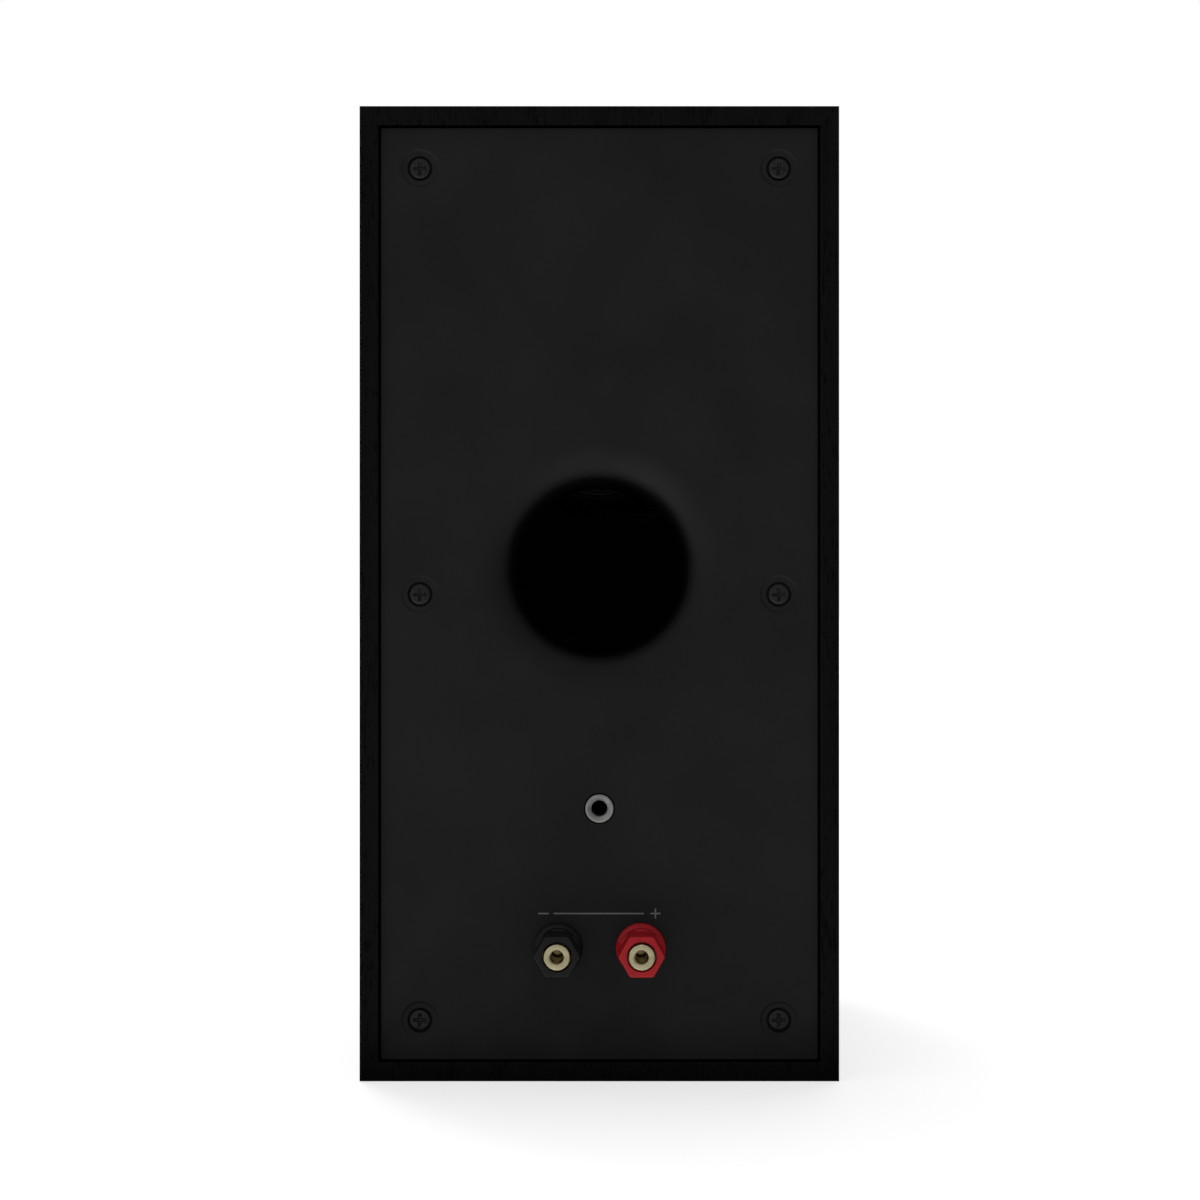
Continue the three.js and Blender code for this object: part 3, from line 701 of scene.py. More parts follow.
def finish_speckled(name, colour, dark, light, size, roughness, specular=0.4):
    """A pressed or fired material: even colour broken by grains."""
    finish = Finish(name, colour, roughness, specular=specular)
    grains = finish.node("TexVoronoi", finish.scaled(finish.here(), size), None, 1).outputs["Distance"]
    finish.set("Base Color", finish.ramp(grains, (0.1, light), (0.5, colour), (0.9, dark)))
    finish.grain(size=size, depth=size / 12, strength=0.6, detail=4)
    return finish.material


def finish_film():
    """A capacitor's glossy wrapped film, in faint bands that run round it."""
    finish = Finish("capacitor_film", (0.035, 0.06, 0.14), 0.22, Coat_Weight=0.5, Coat_Roughness=0.1)
    finish.drift("Base Color", (0.028, 0.05, 0.12), (0.045, 0.075, 0.17), size=0.004)
    finish.grain(size=(0.006, 0.0011, 0.006), depth=0.00012, strength=0.35)
    return finish.material


def finish_wadding():
    finish = Finish("wadding_fleece", (0.72, 0.72, 0.69), 0.95, specular=0.1, Sheen_Weight=0.3)
    fibres = finish.noise((0.0006, 0.004, 0.0012), 6)
    finish.set("Base Color", finish.ramp(fibres, (0.3, (0.5, 0.5, 0.47)), (0.65, (0.8, 0.8, 0.77))))
    finish.bump(fibres, depth=0.0012, strength=0.7)
    return finish.material


def finish_print():
    finish = Finish("printed_mark", (0.15, 0.15, 0.15), 0.6, specular=0.3)
    finish.drift("Base Color", (0.12, 0.12, 0.12), (0.17, 0.17, 0.17), size=0.0006)
    finish.grain(size=0.0003, depth=0.00001, strength=0.3)
    return finish.material


WINDING_PITCH = 0.9  # of the inductors' wire
FINE_PITCH = 0.3  # of the voice coils' wire

MOULDING = finish_moulding()
GASKET = finish_moulding("gasket_rubber", (0.012, 0.012, 0.012), 0.2, 0.8)
GRILLE_PLASTIC = finish_moulding("grille_plastic", (0.009, 0.009, 0.009), 0.35, 0.5)
BLACK_CAP = finish_cap("black_cap_plastic", (0.0065, 0.0065, 0.007), (0.0045, 0.0045, 0.005), 0.36, 0.22)
RED_CAP = finish_cap("red_cap_plastic", (0.43, 0.007, 0.013), (0.36, 0.005, 0.01), 0.36, 0.28)
GOLD = finish_turned_metal(
    "champagne_gold_plating", (0.62, 0.56, 0.36), (0.52, 0.46, 0.28), roughness=0.27, pitch=0.00018
)
BRASS = finish_turned_metal(
    "plain_brass", (0.62, 0.43, 0.18), (0.5, 0.34, 0.13), roughness=0.3, pitch=0.0002
)
ZINC_INSERT = finish_turned_metal(
    "satin_zinc_insert", (0.34, 0.34, 0.335), (0.26, 0.26, 0.255), roughness=0.5, pitch=0.00022
)
STEEL = finish_sheet_metal("zinc_plated_steel", (0.55, 0.55, 0.54), (0.4, 0.4, 0.39), 0.34)
BLACK_ZINC = finish_sheet_metal("black_zinc_plated_steel", (0.045, 0.045, 0.047), (0.03, 0.03, 0.031), 0.5)
SCREW = finish_screw()
POWDER_COAT = finish_powder_coat()
RUBBER = finish_rubber()
FERRITE = finish_speckled(
    "ferrite", (0.045, 0.045, 0.047), (0.03, 0.03, 0.032), (0.075, 0.075, 0.078), 0.0008, 0.55
)
MDF = finish_speckled(
    "raw_mdf", (0.40, 0.27, 0.155), (0.27, 0.18, 0.10), (0.5, 0.36, 0.22), 0.0007, 0.9, specular=0.2
)
CEMENT = finish_speckled(
    "cement", (0.66, 0.63, 0.55), (0.5, 0.48, 0.42), (0.74, 0.71, 0.64), 0.0006, 0.85, specular=0.3
)
FILM = finish_film()
COPPER = finish_winding(WINDING_PITCH * MM)
FINE_COPPER = finish_winding(FINE_PITCH * MM)
BLACK_WIRE = finish_cap("black_wire_insulation", (0.02, 0.02, 0.02), (0.013, 0.013, 0.013), 0.45)
RIBBED_WIRE = finish_cap("ribbed_wire_insulation", (0.035, 0.035, 0.036), (0.022, 0.022, 0.023), 0.55)

# ---------------- cabinet

EASED_EDGE = 0.0003
MITRE_GAP = 0.00005


def make_cabinet():
    sides = finish_vinyl("black_woodgrain_sides", along_sides=True)
    flats = finish_vinyl("black_woodgrain_top", along_sides=False)
    for side, finish in (("left_side", sides), ("right_side", sides), ("top", flats), ("bottom", flats)):
        wall = softened(f"{side}_panel", f"{side}_wall", EASED_EDGE, mitre_gap=MITRE_GAP)
        place(wall, finish, f"{side}_panel")
    place(softened("rear_frame", "rear_frame_ring", EASED_EDGE, 1), MDF, "rear_frame")
    place(softened("rear_gasket", "rear_gasket_strip", 0.0002, 1), GASKET, "rear_gasket")
    make_baffle()


def make_baffle():
    """The front baffle, with a stepped seat for each driver."""
    low, high = box_mm("front_baffle")
    outline = box_opening(low.x, high.x, low.z, high.z, corner=1.5)
    front, back = low.y, high.y
    edge = [(-0.25, back), (0, back - 0.25), (0, front + 1.0), (-0.3, front + 0.3), (-1.0, front)]

    def seat(centre, radius, depth, through):
        rim = [(through, back), (through, front + depth), (radius, front + depth), (radius, front + 0.4)]
        return round_opening(centre, 120), [*rim, (radius + 0.4, front)]

    woofer_seat = seat(WOOFER, radius=61.4, depth=4.5, through=53)
    tweeter_seat = seat(TWEETER, radius=52.4, depth=3.8, through=39)
    baffle = board("front_baffle_board", (outline, edge), [woofer_seat, tweeter_seat])
    place(baffle, finish_baffle(), "front_baffle")


# ---------------- rear panel

PANEL_THICKNESS = 4
PORT_BORE = 29
PORT_MOUTH = 40
MOUTH_DEPTH = 7
TUBE_FLARE = 11.5  # radius of the flare at the tube's inner end
TUBE_WALL = 2.5


def make_rear_panel():
    """One moulding: the flat panel, its flared port mouth and the dished seats of its screws."""
    low, high = box_mm("rear_panel")
    face, back = high.y, high.y - PANEL_THICKNESS
    outline = box_opening(low.x, high.x, low.z, high.z, corner=0.6)
    edge = [(-0.2, back), (0, back + 0.2), (0, face - 0.2), (-0.06, face - 0.06), (-0.2, face)]

    reach, deep = PORT_MOUTH - PORT_BORE, MOUTH_DEPTH
    flare = [(PORT_MOUTH + r * reach, face - deep + y * deep) for r, y in arc(0, 0, 1, 180, 90, 24)]
    bell = PORT_BORE + 5.5
    spigot_end, tube_stop, socket = face - 27.5, face - 19, PORT_BORE + 2.8
    outside = [(bell + 4, back), (bell + 3.5, back - 1), (bell, back - 4), (bell, spigot_end)]
    inside = [(socket, spigot_end), (socket, tube_stop), (PORT_BORE, tube_stop)]

    hole, head_hole, head_floor = 2.0, 3.95, face - 2.1
    dish = [(4.05, face - 0.5), (5.2, face - 0.5), (5.55, face - 0.44), (5.9, face - 0.08), (6.2, face)]
    head_seat = [(hole, back), (hole, head_floor), (head_hole, head_floor), (head_hole, face - 0.58)]
    post_hole = [(5.7, back), (5.7, face - 0.2), (5.9, face)]
    insert_floor = face - 14
    insert_hole = [(8, back), (8, insert_floor), (4.75, insert_floor), (4.75, face - 0.25), (5.0, face)]

    openings = [(round_opening(PORT, 128), [*outside, *inside, *flare])]
    openings += [(round_opening(INSERT), insert_hole)]
    openings += [(round_opening(post), post_hole) for post in POSTS.values()]
    openings += [(round_opening(screw), [*head_seat, *dish]) for screw in REAR_SCREWS]
    panel = board("rear_panel_moulding", (outline, edge), openings)
    place(panel, MOULDING, "rear_panel")


def make_port_tube():
    low, high = box_mm("port_tube")
    mouth = PORT.y / MM
    near = high.y - mouth
    bend = low.y + TUBE_FLARE - mouth
    outer = arc(PORT_BORE + TUBE_FLARE, bend, TUBE_FLARE - TUBE_WALL, -98, -180, 10)
    inner = arc(PORT_BORE + TUBE_FLARE, bend, TUBE_FLARE, -180, -98, 14)
    outline = [*outer, [PORT_BORE + TUBE_WALL, near], [PORT_BORE, near], *inner]
    place(turned("port_tube_pipe", outline, PORT, 128), MOULDING, "port_tube")


def make_insert():
    """The threaded insert: a satin collar, its chamfered mouth and the thread inside."""
    bore, pitch, depth = 2.55, 1.27, 11.5
    thread = []
    y = -0.6
    while y > -depth + pitch:
        thread += [[bore, y], [bore + 0.5, y - pitch / 2]]
        y -= pitch
    outline = [[3.75, 0.5], [3.6, 0.42], [bore, -0.4], *thread, [bore, -depth], [4.45, -depth], [4.45, 0.5]]
    insert = turned("threaded_insert_body", outline, INSERT, 64, 0.12)
    place(insert, ZINC_INSERT, "threaded_insert")


def cross_recess(origin, arm, half_width, depth):
    """A tapering cross to cut out of a screw's head, whose top is at y = 0."""
    rings = [
        (0.4, plus(arm * 1.06, half_width * 1.06)),
        (-depth * 0.6, plus(arm * 0.85, half_width * 0.9)),
        (-depth, plus(arm * 0.4, half_width * 0.4)),
    ]
    return loft("recess", rings, origin, closed=False)


def place_screws(name, first, centres, turns, nodes):
    """Places a screw and its copies, each with its recess left at its own angle."""
    for i, (centre, turn, node) in enumerate(zip(centres, turns, nodes)):
        screw = first
        if i:
            screw = add_to_scene(f"{name}_{i + 1}", first.data, centre)
            weigh_normals(screw)
        screw.rotation_euler.y = math.radians(turn)
        place(screw, SCREW, node)


REAR_SCREW_TURNS = (3, -2, 4, 0, -4, 2)  # degrees each screw's cross was left at
SCREW_PITCH = 1.5


def make_rear_screws():
    shank = [[0, -16], [0.5, -15.2], [1.6, -12.5]]
    for step in range(6):
        y = -12.2 + step * SCREW_PITCH
        shank += [[1.25, y + 0.35], [1.7, y + 0.9], [1.25, y + 1.3]]
    rim = [[1.6, -2.0], [3.3, -2.0], [3.3, -0.75]]
    crown = [[3.22, -0.45], [3.0, -0.24], [2.5, -0.12], [1.4, -0.03], [0, 0]]
    first = turned("rear_panel_screw_1", [*shank, *rim, *crown], REAR_SCREWS[0], 48, crease=COARSE_CREASE)
    combine(first, cross_recess(REAR_SCREWS[0], arm=2.2, half_width=0.5, depth=1.1))
    place_screws("rear_panel_screw", first, REAR_SCREWS, REAR_SCREW_TURNS, REAR_SCREW_NODES)


STROKE = 0.24  # half the width of the printed strokes
MARK_RISE = 10.75  # from the posts' axes up to the marks


def make_polarity_marks():
    """The printed line between the posts, with a minus at one end and a plus at the other."""
    z = middle("negative_cap").z / MM + MARK_RISE
    negative, positive = POSTS["negative"].x / MM, POSTS["positive"].x / MM
    face = PANEL_Y / MM
    top = face + 0.06
    arm = 1.62
    plus_x = positive - 4.7

    def bar(name, x0, x1, half_height=STROKE):
        loop = box_opening(x0, x1, z - half_height, z + half_height, 0.12, 3)
        return board(name, (loop, [(0, face + 0.01), (0, top - 0.02), (-0.02, top)]))

    marks = [
        bar("polarity_line", positive - 1.05, negative + 1.45),
        bar("polarity_minus", negative + 2.95, negative + 6.3),
        bar("polarity_plus", plus_x - arm, plus_x + arm),
    ]
    combine(marks[-1], bar("polarity_plus_upright", plus_x - STROKE, plus_x + STROKE, arm), "UNION")
    finish = finish_print()
    for mark in marks:
        place(mark, finish)


# ---------------- binding posts

STUD_RADIUS = 4.05
STUD_BORE = 2.05
STUD_CLEARANCE = 3.15  # bore of what the stud's tail passes through
POST_THREAD_PITCH = 0.8
POST_THREAD_DEPTH = 0.35


def make_post(sign, plastic):
    make_post_base(sign, plastic)
    make_post_cap(sign, plastic)


def make_post_base(sign, plastic):
    origin = POSTS[sign]
    half_pitch = POST_THREAD_PITCH / 2
    thread = [[STUD_RADIUS - POST_THREAD_DEPTH * (i % 2), 5.6 + half_pitch * i] for i in range(25)]
    tail = [[0, -13], [2.5, -13], [2.9, -12.6], [2.9, 3.8], [6.2, 3.8], [6.2, 4.9], [STUD_RADIUS, 4.9]]
    end = [[STUD_RADIUS, 21.75], [3.85, 22], [2.55, 22]]
    socket = [[STUD_BORE, 21.5], [STUD_BORE, 4.4], [1.9, 3.7], [0, 3.0]]
    post = turned(f"{sign}_stud", [*tail, *thread, *end, *socket], origin, 64, 0.1)
    wire_hole = turned("hole", ring_outline(0, 1.0, -8, 8), origin + Vector((0, 6.6 * MM, 0)), 24)
    wire_hole.rotation_euler.z = QUARTER_TURN
    combine(post, wire_hole)
    place(post, GOLD, f"{sign}_post_stud")

    bore = STUD_CLEARANCE
    collar = [[bore, -3.8], [5.4, -3.8], [5.4, 0.1], [7.85, 0.1], [7.85, 2.5], [6.9, 3.6], [bore, 3.6]]
    place(turned(f"{sign}_collar", collar, origin, 96, 0.5), plastic, f"{sign}_post_collar")
    washer = turned(f"{sign}_washer", ring_outline(bore, 7.5, -6, -4.2), origin, 64, 0.2)
    place(washer, BLACK_CAP, f"{sign}_post_washer")
    chamfer, body = hexagon(4.3, 4.7), hexagon(4.5, 5.1)
    flats = [(-9.2, chamfer), (-9.0, body), (-6.4, body), (-6.2, chamfer)]
    nut = loft(f"{sign}_nut", [(-9.2, circle(bore)), *flats, (-6.2, circle(bore))], origin)
    place(nut, STEEL, f"{sign}_post_nut")


def make_post_cap(sign, plastic):
    """The thumb cap, a hexagon on a round flange, and the brass thread inside it."""
    origin = POSTS[sign]
    sleeve = turned(f"{sign}_sleeve", ring_outline(4.25, 5.3, 8, 16.5), origin, 64, 0.15)
    place(sleeve, BRASS, f"{sign}_cap_sleeve", f"{sign}_sleeve_body")

    flange = [(5.15, 6.55), (5.25, 6.8), (5.5, 6.9), (7.5, 6.9), (7.75, 6.8)]
    flats = [(7.9, 6.35, 6.95), (8.2, 6.35, 7.18), (20.35, 6.35, 7.18)]
    top = [(20.65, 6.27, 7.08), (20.82, 6.12, 6.85), (20.9, 5.9, 6.55)]
    inside = [(20.9, 4.75), (20.75, 4.55), (16.9, 4.5), (16.8, 5.6), (5.4, 5.6), (5.15, 5.8)]
    rings = [(y, circle(radius)) for y, radius in flange]
    rings += [(y, hexagon(apothem, reach)) for y, apothem, reach in flats + top]
    rings += [(y, circle(radius)) for y, radius in inside]
    place(loft(f"{sign}_thumb_cap", rings, origin), plastic, f"{sign}_cap", f"{sign}_cap_body")


# ---------------- drivers


def place_flexible(obj, moving_body, centre, fixed, moving, slot, finish, node):
    """Gives a ring its finish, bakes its place into its mesh and hides the CAD node it stands for. It is not
    attached to any body. The moving body, centre, fixed and moving radii and slot are not used."""
    obj.data.materials.append(finish)
    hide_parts(node)
    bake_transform(obj)


def place_motor(driver, centre, fillet, parts):
    """A driver's plates and magnet, and a voice coil if it is among them."""
    for name, node, outline, finish in parts:
        body = f"{driver}_diaphragm" if finish is FINE_COPPER else "cabinet"
        piece = turned(f"{driver}_{name}", outline, centre, 96, fillet)
        place(piece, finish, f"{driver}_{node}", body)


def ring_of_places(radius, count, first):
    angles = [math.radians(first + 360 / count * i) for i in range(count)]
    return [Vector((radius * math.cos(a), 0, radius * math.sin(a))) * MM for a in angles]


def sink_holes(target, centres, outline):
    """Countersunk holes. Each cutter is turned a little, so that none of its corners meets the target's."""
    for i, centre in enumerate(centres):
        sink = turned("sink", outline, centre, 48)
        sink.rotation_euler.y = 0.03 + 0.01 * i
        combine(target, sink)


def make_flat_screws(name, centres, head, shank, nodes):
    """Countersunk screws with a cross recess, sitting just below the face they hold."""
    sunk = 0.3
    outline = [[0, sunk], [head - 0.3, sunk], [head, 0.5], [head, 0.75], [shank, 2.4]]
    for step in range(8):
        y = 3.0 + step * SCREW_PITCH
        outline += [[shank - 0.3, y], [shank + 0.05, y + 0.5], [shank - 0.3, y + 0.9]]
    outline += [[shank - 0.4, 16], [0, 17.6]]
    first = turned(f"{name}_1", outline, centres[0], 40, crease=COARSE_CREASE)
    recess = cross_recess(centres[0], arm=head * 0.55, half_width=head * 0.14, depth=head * 0.55)
    recess.scale.y = -1
    recess.location.y += sunk * MM
    combine(first, recess)
    turns = [17 + 53 * i for i in range(len(centres))]  # degrees, no two alike
    place_screws(name, first, centres, turns, nodes)


# ---------------- woofer

WINDOW_COUNT = 6
WINDOW_RADIUS = 0.049  # from the woofer's axis to the middle of a window
WINDOW_Y = 0.0175  # behind the baffle's face


def make_woofer():
    make_basket()
    make_woofer_diaphragm()
    yoke = [[4, 33.6], [11.8, 33.6], [11.8, 52.9], [36, 52.9], [36, 57.9], [4, 57.9]]
    plates = [
        ("front_plate", "top_plate", ring_outline(14.2, 37, 33.3, 38.3), BLACK_ZINC),
        ("magnet_ring", "magnet", ring_outline(18, 38, 38.6, 52.6), FERRITE),
        ("back_plate", "yoke", yoke, BLACK_ZINC),
    ]
    place_motor("woofer", WOOFER, 0.5, plates)
    make_flat_screws("woofer_fixing", WOOFER_SCREWS, head=3.3, shank=1.6, nodes=WOOFER_SCREW_NODES)


def make_basket():
    """A pressed frame with windows round its cone, and the gasket on its flange."""
    flange = [[51.6, 0], [61, 0], [61, 3], [52, 3], [52, 8]]
    outside = [[40, 28], [40, 33], [20, 33], [20, 31]]
    inside = [[33, 31], [33, 27], [38.5, 27], [50, 7.5], [50, 4], [46.5, 4], [46.5, 2], [51.6, 2]]
    basket = turned("woofer_frame", [*flange, *outside, *inside], WOOFER, 120, 0.5)
    upright = Matrix.Rotation(QUARTER_TURN, 4, "X") @ Matrix.Rotation(QUARTER_TURN, 4, "Z")
    for spot in ring_of_places(1, WINDOW_COUNT, 0):
        direction = spot.normalized()
        cutter = board("window", (box_opening(-12, 12, -15, 15, 4), [(0, -7.5), (0, 7.5)]))
        turn = Matrix.Rotation(math.atan2(direction.x, direction.z), 4, "Y")
        shift = Matrix.Translation(WOOFER + direction * WINDOW_RADIUS + Vector((0, WINDOW_Y, 0)))
        cutter.matrix_world = shift @ turn @ upright
        combine(basket, cutter)
    sink_holes(basket, WOOFER_SCREWS, [[0, -1], [3.9, -1], [3.9, 0.4], [2.1, 2.3], [2.1, 6], [0, 6]])
    place(basket, POWDER_COAT, "woofer_basket")
    gasket = turned("woofer_gasket_ring", ring_outline(53.4, 60.8, 3.1, 4.3), WOOFER, 120, 0.15)
    place(gasket, GASKET, "woofer_gasket")


def make_woofer_diaphragm():
    """The cone with its dust cap and voice coil, and the two soft rings that hold it."""
    body = "woofer_diaphragm"
    roll, radius, top, wall = 42.6, 4.0, 1.3, 0.6
    under_roll = [[51.2, top + wall], *arc(roll, top + wall, radius - wall, 0, -180, 20), [35.6, top + wall]]
    over_roll = [[35.6, top], *arc(roll, top, radius, -180, 0, 24), [51.2, top]]
    surround = turned("woofer_surround_roll", [*under_roll, *over_roll], WOOFER, 120, 0.15)
    edges = (roll + radius, roll - radius)
    place_flexible(surround, body, WOOFER, *edges, "black_rubber", RUBBER, "woofer_surround")

    # Steep near the coil, and flatter towards the rim.
    line = [list(p) for p in curve(Vector((13.1, 21.5)), Vector((25.5, 9.2)), Vector((38.2, 2.1)), 28)]
    cone = turned("woofer_cone_body", shell_outline(line, 0.9), WOOFER, 120)
    place(cone, finish_cone(), "woofer_cone", body)

    rise = 37.5
    crown = arc(0, rise, 25.7, -90, -52, 14)
    under = arc(0, rise, 25.0, -52, -90, 14)
    crown[0][0] = under[-1][0] = 0
    skirt = [[16.35, 17.9], [16.75, 17.75], [16.3, 18.2]]
    cap = turned("woofer_cap_dome", [*crown, *skirt, *under], WOOFER, 96)
    place(cap, finish_dust_cap(), "woofer_dust_cap", body)

    former = [[12.4, 20], [12.8, 20], [12.8, 33.4], [13.4, 33.4], [13.4, 42], [12.4, 42]]
    coil = turned("woofer_coil", former, WOOFER, 96, 0.05)
    place(coil, FINE_COPPER, "woofer_voice_coil", body)

    # Ripples about 3 mm apart, which grow from nothing at the coil.
    ripple_rate, ripple_height, ripple_start = 2.09, 1.1, 2.1
    line = []
    for run in [0.35 * i for i in range(52)]:
        height = ripple_height * min(1, run / ripple_start)
        line.append([13.1 + run, 26.2 + height * math.sin(run * ripple_rate)])
    line += [[31.5, 26.3], [38.2, 26.3]]
    spider = turned("woofer_spider_disc", shell_outline(line, 0.45), WOOFER, 96)
    resin_cloth = finish_weave("spider_cloth", (0.5, 0.3, 0.09), (0.32, 0.18, 0.05), 0.0009, 0.8)
    place_flexible(spider, body, WOOFER, 31, 14, "spider_cloth", resin_cloth, "woofer_spider")


# ---------------- tweeter

TWEETER_SCREW_CIRCLE = 46.5


def make_tweeter():
    make_faceplate()
    body = "tweeter_diaphragm"
    angles = [QUARTER_TURN * i / 18 for i in range(19)]
    line = [[12.6 * math.sin(a), 14 - 5.4 * math.cos(a)] for a in angles]
    dome = turned("tweeter_dome_cap", shell_outline(line, 0.4), TWEETER, 96)
    silk = finish_weave("dome_silk", (0.05, 0.05, 0.054), (0.03, 0.03, 0.033), 0.00035, 0.45)
    place(dome, silk, "tweeter_dome", body)

    roll, radius, top, wall = 14.6, 1.5, 13.9, 0.3
    over_roll = [*arc(roll, top, radius, -180, 0, 14), [20, top]]
    under_roll = [[20, top + wall], *arc(roll, top + wall, radius - wall, 0, -180, 14)]
    inner_lip = [[13, 14.4], [13, 14.1]]
    surround = turned("tweeter_surround_roll", [*over_roll, *under_roll, *inner_lip], TWEETER, 96)
    place_flexible(surround, body, TWEETER, 16.1, 13.1, "black_rubber", RUBBER, "tweeter_surround")

    yoke = [[0, 14.9], [11.8, 14.9], [11.8, 28.3], [29, 28.3], [29, 32.3], [0, 32.3]]
    parts = [
        ("coil", "voice_coil", ring_outline(12.5, 13.1, 14.6, 19.5), FINE_COPPER),
        ("front_plate", "top_plate", ring_outline(13.9, 30, 14.9, 17.9), BLACK_ZINC),
        ("magnet_ring", "magnet", ring_outline(17, 30, 18.1, 28.1), FERRITE),
        ("back_plate", "yoke", yoke, BLACK_ZINC),
    ]
    place_motor("tweeter", TWEETER, 0.3, parts)


def make_faceplate():
    """A round plate that opens out from the dome in a shallow waveguide, and its four screws."""
    throat = [[17.5, 11.2], [17.9, 10.7], [19.2, 9.75], [21, 8.6], [23.5, 7.2], [26, 5.9], [29, 4.55]]
    mouth = [[32, 3.3], [35, 2.2], [38, 1.2], [40.5, 0.55], [42.5, 0.15], [44, 0.0]]
    rim = [[50.9, 0], [51.7, 0.25], [52, 0.9], [52, 3.5]]
    behind = [[37.5, 3.5], [37.5, 7], [31, 13.5], [16.6, 13.5]]
    plate = turned("tweeter_plate", [*throat, *mouth, *rim, *behind], TWEETER, 120)
    screws = [TWEETER + spot for spot in ring_of_places(TWEETER_SCREW_CIRCLE, 4, 45)]
    sink_holes(plate, screws, [[0, -1], [3.2, -1], [3.2, 0.4], [1.8, 2], [1.8, 6], [0, 6]])
    finish = finish_moulding("tweeter_plate_moulding", roughness=0.42)
    place(plate, finish, "tweeter_faceplate")
    make_flat_screws("tweeter_fixing", screws, head=2.7, shank=1.35, nodes=[()] * len(screws))


# ---------------- grille

GRILLE_CORNER = 4
GRILLE_BAR = 12
CLOTH_SKIN = 0.45
CLOTH_FOLD = 7  # how far the cloth is folded round behind the frame


def make_grille():
    """A moulded frame with one bar across, and black cloth drawn over its front and folded behind it."""
    low, high = box_mm("grille_frame")
    front, back = low.y, high.y
    outline = box_opening(low.x, high.x, low.z, high.z, GRILLE_CORNER, 10)
    back_edge = [(-0.5, back), (-0.1, back - 0.4), (0, back - 1)]
    front_edge = [(0, front + 1.6), (-0.45, front + 0.5), (-1.6, front)]
    rim = [(0.5, back), (0, back - 0.5), (0, front + 0.8), (0.8, front)]
    centre_z = (low.z + high.z) / 2
    spans = [(low.z + GRILLE_BAR, centre_z - 5), (centre_z + 5, high.z - GRILLE_BAR)]
    windows = [(box_opening(low.x + GRILLE_BAR, high.x - GRILLE_BAR, z0, z1, 3), rim) for z0, z1 in spans]
    support = board("grille_support", (outline, back_edge + front_edge), windows)
    place(support, GRILLE_PLASTIC, "grille_frame", "grille")

    cloth_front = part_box("grille_cloth")[0].y / MM
    outside, behind = 0.15 + CLOTH_SKIN, back + CLOTH_SKIN * 0.4
    inner = [(-2.2, front - 0.1), (-0.9, front + 0.1), (-0.1, front + 0.9), (0.15, front + 2.2)]
    hem = [(0.15, back - 0.4), (0.0, back + 0.08), (-CLOTH_FOLD, back + 0.08), (-CLOTH_FOLD, behind)]
    outer = [(0.2, behind), (outside, back - 0.3), (outside, front + 2.0)]
    face = [(0.3, front + 0.35), (-0.6, front - 0.35), (-2.2, cloth_front)]
    cloth = board("grille_cloth_cover", (outline, [*inner, *hem, *outer, *face]))
    weave = finish_weave("grille_cloth", (0.031, 0.031, 0.0325), (0.005, 0.005, 0.0055), 0.0009)
    place(cloth, weave, "grille_cloth", "grille")


# ---------------- crossover, leads and wadding

FLANGE = 1.5  # of the inductors' bobbins
LEAD_RADIUS = 1.08


def bobbin_and_winding(node, name):
    """A plastic bobbin with wire wound on it in close turns."""
    low, high = box_mm(node)
    radius = (high.x - low.x) / 2
    height = high.y - low.y
    origin = on_axis(node, high.y * MM)
    flange = [[4, -height], [radius, -height], [radius, FLANGE - height], [5, FLANGE - height]]
    outline = [*flange, [5, -FLANGE], [radius, -FLANGE], [radius, 0], [4, 0]]
    bobbin = turned(f"{name}_bobbin", outline, origin, 64, 0.3)
    place(bobbin, BLACK_CAP)
    crest = radius - FLANGE
    valley = crest - 0.3
    ridges = []
    for i in range(int((height - 3.2) / WINDING_PITCH)):
        y = 1.6 - height + WINDING_PITCH * i
        ridges += [[valley, y + 0.05], [crest, y + 0.3], [crest, y + 0.6], [valley, y + 0.85]]
    outline = [[5.1, ridges[0][1]], *ridges, [5.1, ridges[-1][1]]]
    winding = turned(f"{name}_winding", outline, origin, 64, crease=80)
    place(winding, COPPER, node)


def capacitor(node, name, turn):
    """A wrapped film capacitor with sealed ends, made along Y and then turned to lie as its node does."""
    low, high = box_mm(node)
    half, radius = max(high - low) / 2, min(high - low) / 2
    end = [[0, 1.1], [radius - 1.2, 1.1], [radius - 0.9, 0.2], [radius - 0.5, 0], [radius, 0.7]]
    outline = [[r, y - half] for r, y in end] + [[r, half - y] for r, y in reversed(end)]
    body = turned(name, outline, middle(node), 64, 0.25)
    body.rotation_euler = turn
    place(body, FILM, node)


def make_crossover():
    board_shape = softened("crossover_board", "crossover_circuit", 0.0001, 1)
    place(board_shape, finish_circuit(), "crossover_board")
    bobbin_and_winding("woofer_inductor", "woofer_choke")
    bobbin_and_winding("tweeter_inductor", "tweeter_choke")
    capacitor("woofer_capacitor", "large_capacitor", (0, 0, QUARTER_TURN))
    capacitor("tweeter_capacitor", "small_capacitor", (QUARTER_TURN, 0, 0))
    place(softened("padding_resistor", "cement_resistor", 0.0006), CEMENT, "padding_resistor")


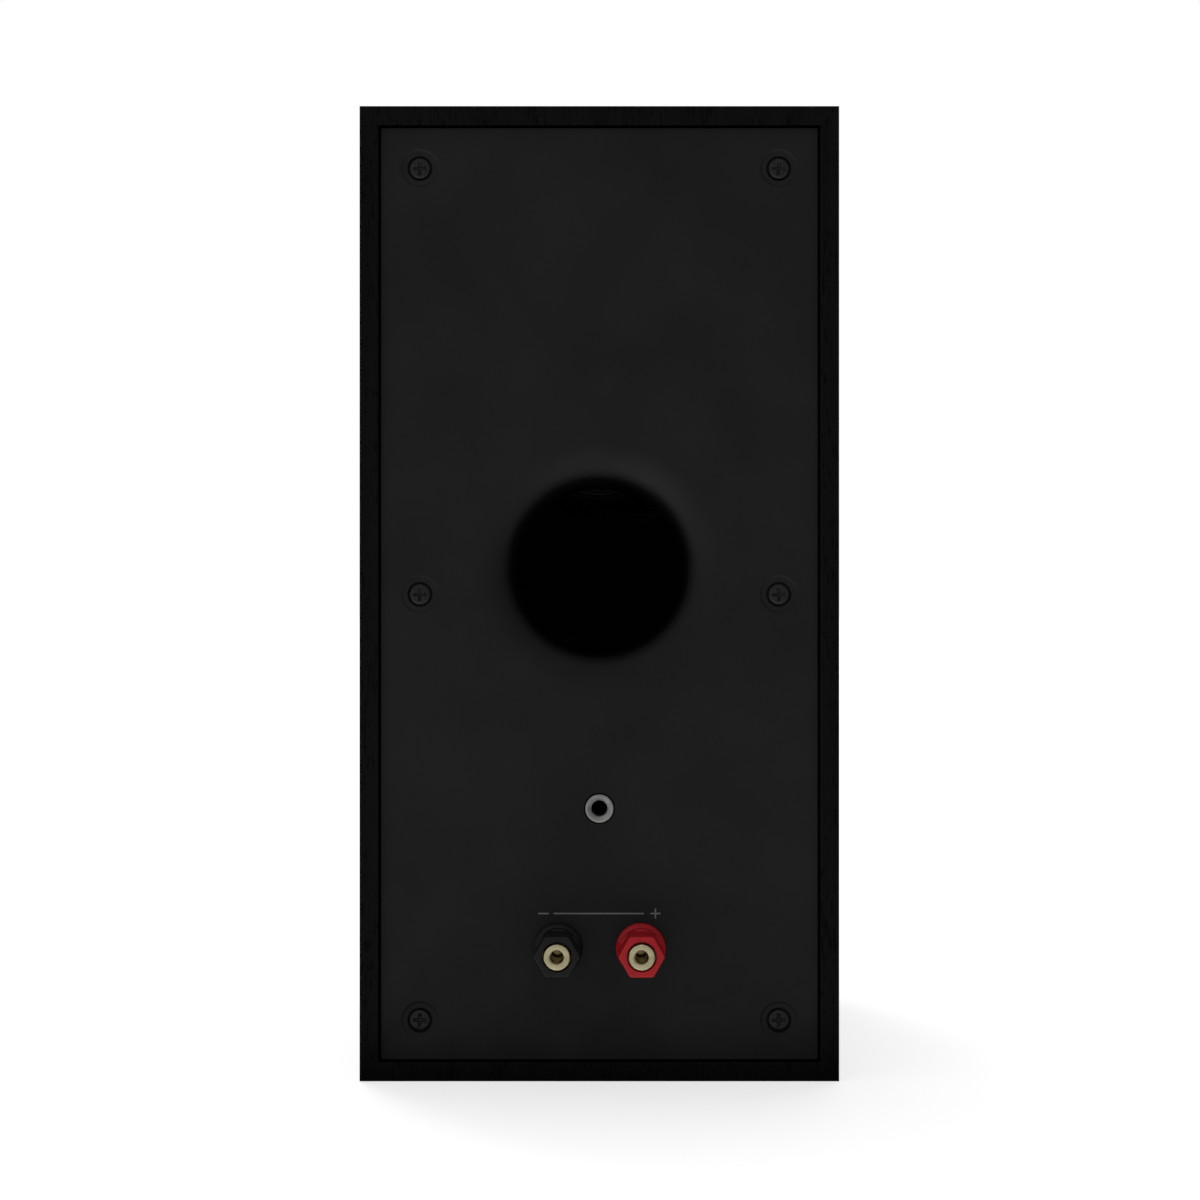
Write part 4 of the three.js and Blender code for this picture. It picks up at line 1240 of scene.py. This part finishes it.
LEAD_ROUTES = {
    "woofer_lead": [
        (5, 69.4, 36), (5.2, 61, 35.8), (10, 50, 33), (24, 34, 30), (40, 14, 40), (49, -14, 66),
        (49, -38, 98), (34, -58, 124), (10, -67.5, 137),
    ],
    "tweeter_lead": [
        (-5, 69.4, 36), (-5.2, 61, 35.8), (-12, 50, 32), (-28, 38, 36), (-48, 22, 66), (-54, 6, 112),
        (-52, -10, 162), (-38, -34, 196), (-18, -56, 184), (0, -74, 186),
    ],
}  # fmt: skip


def make_leads():
    """Flat twin leads from the crossover to each driver. One core has paler, rougher insulation."""
    for name, route in LEAD_ROUTES.items():
        path = smooth_path(route, 8)
        ribbed = tube(f"{name}_ribbed", path, LEAD_RADIUS, LEAD_RADIUS)
        place(ribbed, RIBBED_WIRE, name)
        plain = tube(f"{name}_plain", path, LEAD_RADIUS, -LEAD_RADIUS)
        place(plain, BLACK_WIRE)


# The fleece's unevenness, as (waves per metre, height), and how far it is drawn in to stay inside its box.
LUMPS = (45, 0.004)
TUFTS = (160, 0.0014)
FLEECE_INSET = 0.003
FLEECE_ROUND = 0.014
LONGEST_EDGE = 0.006


def make_wadding():
    """A loose block of fleece, soft at its edges and lumpy all over."""
    bm = cad_shape("acoustic_wadding")
    bmesh.ops.bevel(bm, geom=bm.edges[:], offset=FLEECE_ROUND, segments=5, profile=0.5, affect="EDGES")
    bmesh.ops.triangulate(bm, faces=bm.faces)
    for _ in range(3):
        long_edges = [e for e in bm.edges if e.calc_length() > LONGEST_EDGE]
        bmesh.ops.subdivide_edges(bm, edges=long_edges, cuts=1, use_grid_fill=True)
    bmesh.ops.triangulate(bm, faces=bm.faces)
    bm.normal_update()
    for vertex in bm.verts:
        rise = sum(noise.noise(vertex.co * rate) * height for rate, height in (LUMPS, TUFTS))
        vertex.co += vertex.normal * (rise - FLEECE_INSET)
    wadding = from_bmesh("acoustic_wadding_fleece", bm, crease=180)
    place(wadding, finish_wadding(), "acoustic_wadding")


# ---------------- the whole scene

add_camera()
add_stage()
make_cabinet()
make_rear_panel()
make_port_tube()
make_insert()
make_rear_screws()
make_polarity_marks()
make_post("negative", BLACK_CAP)
make_post("positive", RED_CAP)
make_woofer()
make_tweeter()
make_grille()
make_crossover()
make_leads()
make_wadding()
